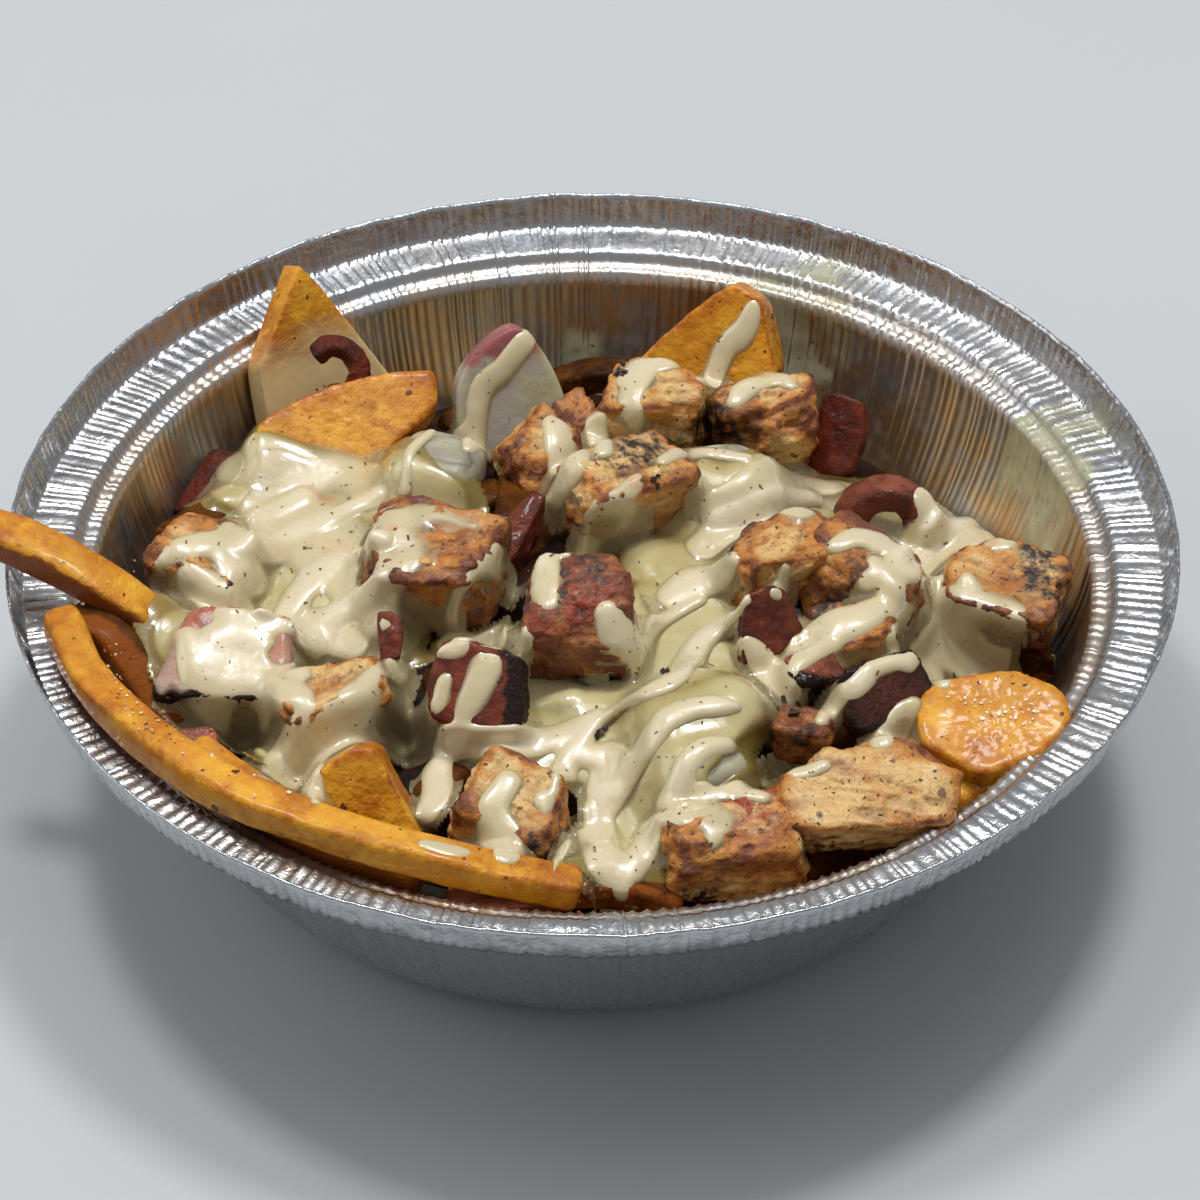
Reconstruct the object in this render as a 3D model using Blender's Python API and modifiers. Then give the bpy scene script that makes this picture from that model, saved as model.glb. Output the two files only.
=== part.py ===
"""Loaded fries in a round aluminium foil bowl.

The bowl stands on z = 0 with its axis on the world Z axis, and -Y is the side that faces the viewer.
Lengths are written in millimetres and turned into metres by the factor mm.
"""
import bpy
import bmesh
import math
import random
from mathutils import Euler, Matrix, Vector, noise

mm = 0.001
gap = 0.3                      # clearance between touching pieces
twin_grow = 0.5                # how much larger all round a piece's twin is, which cuts its neighbours

# Foil bowl: a 7 inch round pan with a stepped rim and an upright flange
bowl_steps = 52                # facets round the bowl
rim_radius = 91.0              # outer edge of the flange
rim_height = 48.3
shelf_radius = 89.0            # inner foot of the flange
shelf_height = 42.3
ledge_height = 40.1
riser_radius = 81.1            # shelf's inner edge
ledge_radius = 79.9            # foot of the small riser
wall_top_radius = 78.0         # inside of the wall at the ledge
base_radius = 55.7             # inside of the flat base
foil = 0.5                     # wall, thicker than real foil so that it is a solid
cavity_steps = 36              # facets round the space for the food
cavity_top = 70.0              # above all of the food
wall_reach = 71.0              # pieces that reach past this radius are cut clear of the wall
wall_points = 5
wall_power = 1.5               # superellipse power of the rounded wall

# Heap of fries: a mound that is higher in the middle and in front
mound_centre = (0.0, -5.0)
mound_height = 40.0
mound_inner = 22.0             # radius of the flat middle
mound_outer = 72.0
edge_height = 29.0             # mean height at the wall
edge_back_drop = 5.0
edge_right_drop = 4.0
mound_bump = 1.1               # unevenness of a fry's size
bump_scale = 8.5
cell = 6.0                     # grid spacing of heap and sauce surfaces
grid_reach = 80.5
flat_angle = 2.6               # faces that meet at less, in degrees, become one after a cut
seat = 0.8                     # space left under a topping, above the bare heap
heap_bottom = -10.0            # below the bowl's floor, where the cavity cuts it off
sauce_edge = 1.2               # sauce that would be thinner than this is left out
sauce_least = 1.4              # thickness of the sheet at its edge
border_passes = 3              # times that the sheet's outline is smoothed

# Fries and potato slabs
fry_ring_spacing = 11.0
fry_end_size = 0.72            # share of the full section at a fry's two ends
fry_swell = 0.10
slab_bevel = 1.0
slab_outline_share = 0.93      # the bevel makes up for the rest
sharp_angle = 40.0             # faces that meet at more, in degrees, keep a sharp edge

colours = {
    "foil": ((0.78, 0.78, 0.77), 0.25, 1.0),
    "fries": ((0.80, 0.42, 0.08), 0.50, 0.0),
    "cheese": ((0.86, 0.80, 0.60), 0.25, 0.0),
    "chicken": ((0.62, 0.36, 0.18), 0.50, 0.0),
    "bacon": ((0.22, 0.05, 0.03), 0.35, 0.0),
    "onion": ((0.74, 0.72, 0.56), 0.25, 0.0),
}

# Chicken pieces: centre x, y, z; width, depth, height; turn about Z and lean about X in degrees
chicken_pieces = [
    (10.9, 44.4, 36.3, 18.0, 13.0, 12.0, -12, 5),
    (28.2, 44.0, 33.2, 17.0, 13.0, 13.0, 20, -5),
    (3.3, 12.6, 43.6, 19.0, 14.0, 14.0, 38, 8),
    (-8.6, 26.8, 39.0, 13.5, 12.0, 12.0, 55, 10),
    (-24.9, -6.6, 44.2, 23.0, 16.0, 14.0, -14, 6),
    (-1.4, -21.6, 46.0, 17.0, 15.0, 13.0, -8, 12),
    (29.2, -4.8, 44.4, 18.0, 11.5, 10.0, 32, 6),
    (43.0, -8.2, 41.4, 17.0, 13.0, 12.0, -38, 4),
    (64.2, -2.6, 34.4, 17.5, 15.0, 13.0, -20, 8),
    (39.6, -53.8, 38.6, 28.0, 13.0, 11.5, 8, 10),
    (19.0, -61.4, 37.4, 21.0, 14.0, 12.0, 10, 12),
    (-11.4, -56.0, 38.4, 15.5, 14.0, 11.5, -25, 8),
    (-39.6, -34.6, 39.8, 18.0, 12.0, 10.5, 20, 8),
    (-61.0, -0.6, 38.2, 16.0, 13.0, 12.0, -30, -6),
    (39.6, -19.6, 41.2, 12.0, 9.0, 8.0, 15, 10),
    (-3.6, 43.0, 33.6, 8.0, 7.0, 8.0, 30, 0),
    (31.6, -39.6, 39.0, 8.0, 6.5, 7.0, -20, 0),
]

# Bacon and ham: centre; width, length, thickness; turn about Z, lean about X, bend in mm
bacon_pieces = [
    (-17.1, -35.4, 44.6, 14.0, 13.5, 4.5, -8, 48, 0.5),
    (26.4, -21.4, 46.0, 8.4, 8.4, 3.0, 38, 26, 0.4),
    (32.6, -29.6, 43.4, 8.6, 6.0, 3.0, 20, 22, 0.5),
    (43.8, -33.8, 42.6, 13.5, 11.0, 4.0, 22, 28, 0.9),
    (-44.6, 50.8, 37.8, 8.5, 9.0, 2.4, 20, 46, 0.6),
    (-55.2, -26.2, 42.8, 19.0, 15.0, 4.0, -8, 18, 0.5),
    (-58.6, -40.6, 38.4, 5.5, 5.5, 3.0, 15, 30, 0.4),
    (41.8, 47.0, 29.2, 8.0, 14.0, 3.0, -15, 48, 0.7),
    (47.6, 28.4, 31.2, 10.0, 7.0, 3.4, 25, 24, 1.2),
    (-14.2, 46.4, 38.6, 15.5, 22.0, 4.6, 12, 62, 0.8),
    (-14.8, -69.2, 37.2, 17.0, 5.0, 3.0, 4, 20, 0.6),
    (-61.8, 31.6, 30.0, 9.0, 12.0, 3.0, -28, 34, 0.8),
    (-11.6, 4.8, 42.4, 5.0, 13.0, 3.0, -30, 22, 0.8),
    (-30.8, -20.6, 41.4, 3.4, 8.5, 2.4, 8, 30, 0.4),
]

# Onion slices and the milky lumps of cheese on them: centre; width, depth, height; turn; lean
onion_pieces = [
    (15.6, -40.4, 43.0, 15.0, 12.0, 8.0, 24, 0),
    (16.4, -50.8, 41.4, 12.0, 9.0, 7.0, 30, 0),
    (-24.6, 23.6, 39.8, 14.0, 12.0, 9.0, -20, 0),
    (20.6, 19.6, 40.6, 14.0, 13.0, 7.5, 15, 0),
]

# Fries that show: the points of the middle line, width and height
fry_routes = {
    "over_rim": ([(-101.5, -5.4, 53.4), (-87.4, -10.0, 52.2), (-75.0, -15.0, 48.0), (-65.0, -18.6, 41.4),
                  (-57.0, -21.0, 34.0)], 7.0, 5.0),
    "long_front": ([(-81.0, -20.6, 46.4), (-72.6, -38.6, 46.6), (-56.6, -56.0, 46.2), (-38.6, -65.8, 45.2),
                    (-20.3, -70.6, 42.6), (-1.6, -71.8, 38.4)], 5.4, 5.2),
    "under_front": ([(-60.0, -44.4, 39.0), (-43.0, -60.4, 41.0), (-24.0, -69.0, 38.2)], 6.6, 7.0),
    "dark_left": ([(-80.0, -18.0, 43.4), (-73.0, -22.0, 42.8), (-62.6, -33.4, 34.6)], 6.4, 6.0),
    "short_left": ([(-39.6, -52.2, 36.8), (-33.0, -47.0, 41.6), (-23.8, -52.6, 36.6)], 9.0, 6.0),
    "bottom_middle": ([(-10.0, -67.0, 34.6), (3.0, -67.6, 35.6), (13.0, -68.6, 32.6)], 6.4, 5.0),
    "bottom_right": ([(50.0, -49.0, 33.0), (61.0, -40.0, 33.6), (68.0, -28.0, 30.6)], 8.0, 6.0),
    "back_middle": ([(-12.0, 62.8, 24.4), (2.0, 62.2, 30.0), (12.0, 58.4, 28.0)], 6.0, 5.0),
    "right_back": ([(58.6, 22.0, 24.8), (66.0, 8.0, 27.0), (70.0, -12.0, 27.4)], 6.0, 5.0),
    "left_back": ([(-69.0, 14.0, 31.6), (-61.0, 22.0, 31.4), (-50.0, 26.4, 30.6)], 6.0, 5.0),
}

# Potato wedges and half moons: origin, direction of u, direction of v, outline in u and v, thickness
potato_slabs = {
    "wedge_left": ((-46.6, 57.2, 37.0), (0.766, 0.643, 0), (-0.29, 0.345, 0.89),
                   [(-12.6, 6.0), (1.6, 14.6), (6.2, 9.6), (11.6, -8.0), (0.0, -11.6), (-13.6, -9.0)], 7.0),
    "half_moon": ((-42.0, 38.0, 36.6), (1, 0.2, 0), (-0.15, 0.85, 0.5),
                  [(-15.6, -6.0), (-13.0, 1.6), (-5.4, 5.6), (8.3, 8.2), (17.6, 7.6), (17.0, 1.0),
                   (8.0, -6.0), (-2.0, -12.4), (-11.6, -12.4)], 7.0),
    "wedge_back": ((23.6, 57.0, 37.0), (0.94, -0.34, 0), (0.17, 0.47, 0.86),
                   [(-20.0, -9.0), (-15.6, -2.6), (-8.6, 6.6), (-1.6, 13.4), (4.0, 11.0), (8.6, 0.0),
                    (5.0, -8.6), (-6.0, -13.0)], 6.4),
    "chunk_right": ((59.6, -37.0, 38.8), (1, 0, 0), (0, 0.95, 0.3),
                    [(-11.0, 3.6), (-5.6, 7.4), (2.6, 7.8), (10.6, 3.0), (11.4, -3.6), (6.0, -9.4),
                     (-3.0, -10.6), (-9.6, -5.6)], 9.0),
}
filler_fries = 11              # fries round the edge of the heap that show only in part
filler_seed = 5

# Melted cheese and white sauce: domed patches (x, y, half width, half depth, thickness)
left_patches = [
    (-50.0, -5.0, 20.0, 19.0, 5.6),
    (-24.0, 20.0, 18.0, 16.0, 5.2),
    (-34.0, 2.0, 18.0, 16.0, 5.4),
    (-46.0, -43.0, 10.0, 10.0, 4.6),
    (-50.0, -26.0, 10.0, 14.0, 4.6),
]
middle_patches = [
    (18.0, 10.0, 20.0, 22.0, 5.6),
    (8.0, -14.0, 26.0, 18.0, 5.8),
    (6.0, -38.0, 20.0, 21.0, 6.0),
    (14.0, -55.0, 11.0, 12.0, 5.2),
    (52.0, 6.0, 20.0, 24.0, 6.4),
    (50.0, -18.0, 17.0, 12.0, 5.4),
    (-18.0, -46.0, 13.0, 8.0, 4.6),
]
# Ropes of sauce on the patches: start x, y; end x, y; half width; height
sauce_ropes = [
    (34.0, -2.0, 2.0, -32.0, 3.0, 2.2),
    (26.0, 14.0, 8.0, -6.0, 3.0, 2.0),
    (30.0, -26.0, 0.0, -52.0, 3.2, 2.4),
    (22.0, -34.0, -6.0, -60.0, 3.0, 2.2),
    (60.0, 20.0, 40.0, -24.0, 3.4, 2.0),
    (-26.0, 10.0, -62.0, -12.0, 3.4, 2.2),
    (-12.0, 26.0, -44.0, 8.0, 3.2, 2.0),
    (-28.0, -28.0, -52.0, -50.0, 3.0, 2.0),
    (-10.0, -36.0, -28.0, -54.0, 3.0, 2.0),
]


def clear_scene():
    for obj in list(bpy.data.objects):
        bpy.data.objects.remove(obj, do_unlink=True)


def make_collection(name):
    collection = bpy.data.collections.new(name)
    bpy.context.scene.collection.children.link(collection)
    return collection


def make_material(name):
    colour, roughness, metallic = colours[name]
    material = bpy.data.materials.new(name)
    material.use_nodes = True
    shader = material.node_tree.nodes["Principled BSDF"]
    shader.inputs["Base Color"].default_value = (*colour, 1.0)
    shader.inputs["Roughness"].default_value = roughness
    shader.inputs["Metallic"].default_value = metallic
    material.diffuse_color = (*colour, 1.0)
    return material


def add_object(name, mesh, collection, material=None):
    obj = bpy.data.objects.new(name, mesh)
    collection.objects.link(obj)
    if material:
        mesh.materials.append(material)
    return obj


def mesh_object(name, bm, collection, material=None):
    """Write a bmesh whose coordinates are millimetres into a new object in metres."""
    bmesh.ops.scale(bm, vec=(mm, mm, mm), verts=bm.verts)
    bmesh.ops.recalc_face_normals(bm, faces=bm.faces)
    mesh = bpy.data.meshes.new(name)
    bm.to_mesh(mesh)
    bm.free()
    return add_object(name, mesh, collection, material)


def remove_object(obj):
    mesh = obj.data
    bpy.data.objects.remove(obj, do_unlink=True)
    if mesh.users == 0:
        bpy.data.meshes.remove(mesh)


def keep_largest_body(bm):
    """Delete every loose body of the mesh but the one with the most volume."""
    unseen = set(bm.verts)
    bodies = []
    while unseen:
        stack = [unseen.pop()]
        body = set(stack)
        while stack:
            for edge in stack.pop().link_edges:
                for vert in edge.verts:
                    if vert in unseen:
                        unseen.remove(vert)
                        body.add(vert)
                        stack.append(vert)
        bodies.append(body)

    def volume(body):
        total = 0.0
        for face in {f for v in body for f in v.link_faces}:
            first = face.verts[0].co
            for a, b in zip(face.verts[1:-1], face.verts[2:]):
                total += first.dot(a.co.cross(b.co)) / 6
        return total

    bodies.sort(key=volume, reverse=True)
    for body in bodies[1:]:
        bmesh.ops.delete(bm, geom=list(body), context="VERTS")


def apply_modifiers(obj):
    """Replace the object's mesh by its evaluated one, cleaned and reduced to one body."""
    depsgraph = bpy.context.evaluated_depsgraph_get()
    result = bpy.data.meshes.new_from_object(obj.evaluated_get(depsgraph))
    old = obj.data
    obj.modifiers.clear()
    obj.data = result
    result.name = obj.name
    if old.users == 0:
        bpy.data.meshes.remove(old)
    for angle in (flat_angle, 0.5 * flat_angle, 0.1, 0.0):
        bm = bmesh.new()
        bm.from_mesh(result)
        if angle:
            bmesh.ops.dissolve_limit(bm, angle_limit=math.radians(angle), verts=bm.verts, edges=bm.edges)
        bmesh.ops.triangulate(bm, faces=bm.faces)
        keep_largest_body(bm)
        closed = all(len(edge.link_faces) == 2 for edge in bm.edges)
        if closed or not angle:
            bm.to_mesh(result)
            bm.free()
            break
        bm.free()


def boolean(obj, operation, cutter=None, collection=None, solver="EXACT"):
    modifier = obj.modifiers.new(operation.lower(), "BOOLEAN")
    modifier.operation = operation
    modifier.solver = solver
    if collection:
        modifier.operand_type = "COLLECTION"
        modifier.collection = collection
    else:
        modifier.object = cutter
    apply_modifiers(obj)


def box_of(obj):
    corners = [obj.matrix_world @ Vector(c) for c in obj.bound_box]
    low = Vector((min(c[i] for c in corners) for i in range(3)))
    high = Vector((max(c[i] for c in corners) for i in range(3)))
    return low, high


def boxes_meet(a, b):
    low_a, high_a = box_of(a)
    low_b, high_b = box_of(b)
    return all(low_a[i] < high_b[i] and low_b[i] < high_a[i] for i in range(3))


def wall_curve(radius, reach, bottom, top):
    """Rounded wall as a superellipse quarter, from the foot of the wall up to the ledge."""
    points = []
    for i in range(wall_points + 1):
        angle = 0.5 * math.pi * i / wall_points
        across = math.sin(angle) ** (2 / wall_power)
        down = math.cos(angle) ** (2 / wall_power)
        points.append((radius + reach * across, top - (top - bottom) * down))
    return points


def turned(name, profile, steps, collection, material=None):
    """Screw a profile of (radius, height) in millimetres that starts and ends on the axis."""
    bm = bmesh.new()
    verts = [bm.verts.new((r, 0, z)) for r, z in profile]
    for a, b in zip(verts[:-1], verts[1:]):
        bm.edges.new((a, b))
    bmesh.ops.scale(bm, vec=(mm, mm, mm), verts=bm.verts)
    mesh = bpy.data.meshes.new(name)
    bm.to_mesh(mesh)
    bm.free()
    obj = add_object(name, mesh, collection, material)
    screw = obj.modifiers.new("turn", "SCREW")
    screw.axis = "Z"
    screw.steps = steps
    screw.render_steps = steps
    screw.use_merge_vertices = True
    screw.merge_threshold = 0.00001
    screw.use_smooth_shade = True
    return obj


def bowl_profile(spare=0.0):
    """Cross-section of the foil: up the inside, over the flange and down the outside.

    spare thickens the foil on both sides, for the cutter that keeps the food clear of it.
    """
    reach = wall_top_radius - base_radius
    inside = [(0.0, foil + spare)]
    inside += wall_curve(base_radius - 1.4 * spare, reach + 0.4 * spare, foil + spare, ledge_height + spare)
    inside += [
        (ledge_radius - spare, ledge_height + spare),
        (riser_radius - spare, shelf_height + spare),
        (shelf_radius - spare, shelf_height + spare),
        (rim_radius - foil - spare, rim_height + spare),
    ]
    outside = [
        (rim_radius + spare, rim_height - 0.1 + spare),
        (shelf_radius + 0.5 + spare, shelf_height - foil - spare),
        (riser_radius + 0.2 + spare, shelf_height - foil - spare),
        (ledge_radius + 0.2 + spare, ledge_height - foil - spare),
    ]
    wall = wall_curve(base_radius + 0.3 + spare, reach + 0.1, -spare, ledge_height - foil - spare)
    return inside + outside + wall[::-1] + [(0.0, -spare)]


def make_cavity(collection):
    """Solid of the space inside the bowl, a gap clear of the foil, as tall as the heap can be."""
    reach = wall_top_radius - base_radius
    wall = wall_curve(base_radius - 1.4 * gap, reach + 0.2 * gap, foil + gap, ledge_height + gap)
    profile = [(0.0, cavity_top), (wall_top_radius - 1.2 * gap, cavity_top)] + wall[::-1] + [(0.0, foil + gap)]
    return turned("cavity", profile, cavity_steps, collection)


def smooth_step(t):
    t = min(max(t, 0.0), 1.0)
    return t * t * (3 - 2 * t)


def mound(x, y):
    """Height of the bare heap: a flat middle that falls smoothly to the height at the wall."""
    direction = math.atan2(y, x)
    edge = edge_height - edge_back_drop * math.sin(direction) - edge_right_drop * math.cos(direction)
    distance = math.hypot(x - mound_centre[0], y - mound_centre[1])
    share = smooth_step((distance - mound_inner) / (mound_outer - mound_inner))
    bump = mound_bump * noise.noise(Vector((x / bump_scale, y / bump_scale, 3.1)))
    return edge * share + mound_height * (1 - share) + bump


def sauce_thickness(x, y, patches):
    """Thickness of the cheese and sauce, below zero where there is none."""
    thickness = -1.0
    for cx, cy, rx, ry, high in patches:
        spread = ((x - cx) / rx) ** 2 + ((y - cy) / ry) ** 2
        if spread < 1:
            thickness = max(thickness, high * (1 - spread ** 2) ** 0.5)
    if thickness <= 0:
        return thickness
    rope = 0.0
    for x0, y0, x1, y1, half_width, high in sauce_ropes:
        length = math.hypot(x1 - x0, y1 - y0)
        along = ((x - x0) * (x1 - x0) + (y - y0) * (y1 - y0)) / length
        off = math.hypot(x - x0 - along * (x1 - x0) / length, y - y0 - along * (y1 - y0) / length)
        if 0 < along < length and off < half_width:
            rope = max(rope, high * (1 - (off / half_width) ** 2))
    return thickness + rope


def grid_bmesh():
    """Square grid over the bowl with spacing cell."""
    bm = bmesh.new()
    count = round(2 * grid_reach / cell)
    bmesh.ops.create_grid(bm, x_segments=count, y_segments=count, size=1.0)
    reach = max(v.co.x for v in bm.verts)
    for vert in bm.verts:
        vert.co *= grid_reach / reach
    return bm


def make_core(collection, material):
    """Body of the heap: the mound's surface, closed below the bowl's floor."""
    bm = grid_bmesh()
    for vert in bm.verts:
        vert.co.z = mound(vert.co.x, vert.co.y)
    result = bmesh.ops.extrude_face_region(bm, geom=list(bm.faces), use_keep_orig=True)
    for item in result["geom"]:
        if isinstance(item, bmesh.types.BMVert):
            item.co.z = heap_bottom
    bmesh.ops.dissolve_limit(
        bm, angle_limit=0.01, verts=[v for v in bm.verts if v.co.z == heap_bottom],
        edges=[e for e in bm.edges if all(v.co.z == heap_bottom for v in e.verts)])
    return mesh_object("fries_heap", bm, collection, material)


def make_sauce(name, patches, collection, material=None, grow=0.0):
    """Sheet of melted cheese and sauce that lies just above the bare heap."""
    bm = grid_bmesh()

    def is_bare(face):
        middle = face.calc_center_median()
        return sauce_thickness(middle.x, middle.y, patches) < sauce_edge

    bmesh.ops.delete(bm, geom=[f for f in bm.faces if is_bare(f)], context="FACES")
    border = [v for v in bm.verts if v.is_boundary]
    for _ in range(border_passes):
        middles = [sum((e.other_vert(v).co for e in v.link_edges if e.is_boundary), Vector()) / 2 for v in border]
        for vert, middle in zip(border, middles):
            vert.co = vert.co.lerp(middle, 0.5)
    for vert in bm.verts:
        vert.co.z = mound(vert.co.x, vert.co.y) + seat - grow
    result = bmesh.ops.extrude_face_region(bm, geom=list(bm.faces), use_keep_orig=True)
    for item in result["geom"]:
        if isinstance(item, bmesh.types.BMVert):
            item.co.z += max(sauce_thickness(item.co.x, item.co.y, patches), sauce_least) + 2 * grow
    return mesh_object(name, bm, collection, material)


def rest_on_mound(verts, rise):
    """Lift what lies inside the bare heap to its surface, so that the underside takes its form."""
    for vert in verts:
        vert.co.z = max(vert.co.z, mound(vert.co.x, vert.co.y) + seat + rise)


def make_chunk(name, size, place, seed, collection, material, grow=0.0, cuts=2, power=4.2, rough=0.13):
    """Rounded, uneven block: a subdivided cube drawn in to a superquadric and roughened by noise."""
    bm = bmesh.new()
    bmesh.ops.create_cube(bm, size=2.0)
    bmesh.ops.subdivide_edges(bm, edges=bm.edges, cuts=cuts, use_grid_fill=True)
    rng = random.Random(seed)
    taper = rng.uniform(-0.16, 0.16)
    shear = rng.uniform(-0.18, 0.18)
    offset = Vector((seed * 3.7, seed * 1.9, seed * 5.3))
    half = Vector(size) / 2
    reach = [(h + grow) / h for h in half]
    for vert in bm.verts:
        p = vert.co
        norm = sum(abs(c) ** power for c in p) ** (1 / power)
        p = p / norm * (1 + rough * noise.noise(p * 1.1 + offset))
        p.x *= 1 + taper * p.z
        p.x += shear * p.y
        vert.co = Vector((p[i] * half[i] * reach[i] for i in range(3)))
    bmesh.ops.transform(bm, matrix=place, verts=bm.verts)
    if not grow:
        rest_on_mound(bm.verts, 0.0)
    return mesh_object(name, bm, collection, material)


def make_plate(name, size, bend, place, seed, collection, material, grow=0.0):
    """Thin wavy slab: a grid with an uneven outline, bent along its length, thickened both ways."""
    bm = bmesh.new()
    bmesh.ops.create_grid(bm, x_segments=4, y_segments=3, size=1.0)
    width, length, thick = size
    offset = Vector((seed * 2.3, seed * 4.1, 0))
    for vert in bm.verts:
        x, y = vert.co.x, vert.co.y
        wobble = 1 + 0.14 * noise.noise(Vector((x, y, 0)) * 1.3 + offset)
        height = bend * (1 - 2 * x * x) + 0.6 * noise.noise(Vector((x, y, 4.0)) * 1.5 + offset)
        vert.co = Vector((x * wobble * (width / 2 + grow), y * wobble * (length / 2 + grow), height))
    top = thick / 2 + grow
    under = list(bm.verts)
    for vert in under:
        vert.co.z -= top
    result = bmesh.ops.extrude_face_region(bm, geom=list(bm.faces), use_keep_orig=True)
    over = [item for item in result["geom"] if isinstance(item, bmesh.types.BMVert)]
    for vert in over:
        vert.co.z += 2 * top
    bmesh.ops.transform(bm, matrix=place, verts=bm.verts)
    if not grow:
        rest_on_mound(under, 0.0)
    rest_on_mound(over, thick + grow)
    return mesh_object(name, bm, collection, material)


def route_point(points, t):
    """Point of the smooth curve through the points: Catmull-Rom spans, t from 0 to 1."""
    spans = len(points) - 1
    span = min(int(t * spans), spans - 1)
    u = t * spans - span
    p1, p2 = points[span], points[span + 1]
    p0 = points[span - 1] if span > 0 else p1 * 2 - p2
    p3 = points[span + 2] if span + 2 <= spans else p2 * 2 - p1
    return 0.5 * (2 * p1 + (p2 - p0) * u + (2 * p0 - 5 * p1 + 4 * p2 - p3) * u ** 2
                  + (3 * p1 - p0 - 3 * p2 + p3) * u ** 3)


def make_fry(name, route, width, height, collection, material=None, grow=0.0):
    """Fry: an eight-sided bar with rounded corners that follows its route."""
    points = [Vector(p) for p in route]
    length = sum((b - a).length for a, b in zip(points[:-1], points[1:]))
    rings = max(3, round(length / fry_ring_spacing))
    bm = bmesh.new()
    bmesh.ops.create_cone(bm, cap_ends=True, segments=8, radius1=1.0, radius2=1.0, depth=1.0)
    for i in range(1, rings):
        geometry = list(bm.verts) + list(bm.edges) + list(bm.faces)
        bmesh.ops.bisect_plane(bm, geom=geometry, plane_co=(0, 0, i / rings - 0.5), plane_no=(0, 0, 1))
    for vert in bm.verts:
        t = vert.co.z + 0.5
        centre = route_point(points, t)
        ahead = (route_point(points, min(t + 0.02, 1.0)) - route_point(points, max(t - 0.02, 0.0))).normalized()
        side = ahead.cross(Vector((0, 0, 1))).normalized()
        up = side.cross(ahead)
        angle = math.atan2(vert.co.y, vert.co.x)
        square = (abs(math.cos(angle)) ** 5 + abs(math.sin(angle)) ** 5) ** -0.2
        end = fry_end_size if t < 0.01 or t > 0.99 else 1.0
        swell = end * (1 + fry_swell * noise.noise(centre * 0.11))
        across = math.cos(angle) * square * (width / 2 * swell + grow)
        above = math.sin(angle) * square * (height / 2 * swell + grow)
        stretch = ahead * grow * (2 * t - 1)
        vert.co = centre + side * across + up * above + stretch
    return mesh_object(name, bm, collection, material)


def make_slab(name, origin, u_way, v_way, outline, thickness, collection, material=None, grow=0.0):
    """Potato slab: a flat outline filled as a 2D curve, given its thickness and a bevelled edge."""
    curve = bpy.data.curves.new(name, "CURVE")
    curve.dimensions = "2D"
    curve.fill_mode = "BOTH"
    curve.extrude = (thickness / 2 - slab_bevel) * mm
    curve.bevel_depth = (slab_bevel + grow) * mm
    curve.bevel_resolution = 1
    spline = curve.splines.new("POLY")
    spline.points.add(len(outline) - 1)
    for point, (u, v) in zip(spline.points, outline):
        point.co = (u * mm * slab_outline_share, v * mm * slab_outline_share, 0, 1)
    spline.use_cyclic_u = True
    guide = bpy.data.objects.new(name + "_guide", curve)
    collection.objects.link(guide)
    depsgraph = bpy.context.evaluated_depsgraph_get()
    mesh = bpy.data.meshes.new_from_object(guide.evaluated_get(depsgraph))
    bpy.data.objects.remove(guide, do_unlink=True)
    bpy.data.curves.remove(curve)
    u_axis = Vector(u_way).normalized()
    normal = u_axis.cross(Vector(v_way)).normalized()
    v_axis = normal.cross(u_axis)
    frame = Matrix((u_axis, v_axis, normal)).transposed().to_4x4()
    frame.translation = Vector(origin) * mm
    bm = bmesh.new()
    bm.from_mesh(mesh)
    bpy.data.meshes.remove(mesh)
    bmesh.ops.remove_doubles(bm, verts=bm.verts, dist=0.00001)
    bmesh.ops.recalc_face_normals(bm, faces=bm.faces)
    bmesh.ops.transform(bm, matrix=frame, verts=bm.verts)
    result = bpy.data.meshes.new(name)
    bm.to_mesh(result)
    bm.free()
    return add_object(name, result, collection, material)


def filler_routes():
    """Fries that lie on the slope of the heap beside the wall, at random angles."""
    rng = random.Random(filler_seed)
    routes = []
    for i in range(filler_fries):
        angle = 2 * math.pi * (i + rng.uniform(-0.3, 0.3)) / filler_fries
        radius = rng.uniform(55.0, 64.0)
        heading = angle + math.pi / 2 + rng.uniform(-0.7, 0.7)
        half = rng.uniform(9.0, 13.0)
        route = []
        for share in (-1.0, 0.0, 1.0):
            x = radius * math.cos(angle) + share * half * math.cos(heading)
            y = radius * math.sin(angle) + share * half * math.sin(heading)
            route.append((x, y, mound(x, y) + 0.8 + 0.8 * (1 - share ** 2)))
        routes.append((route, rng.uniform(5.2, 6.8), rng.uniform(4.6, 5.6)))
    return routes


def place_matrix(x, y, z, turn, lean):
    rotation = Euler((math.radians(lean), 0.0, math.radians(turn)), "XYZ").to_matrix().to_4x4()
    return Matrix.Translation(Vector((x, y, z))) @ rotation


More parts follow.
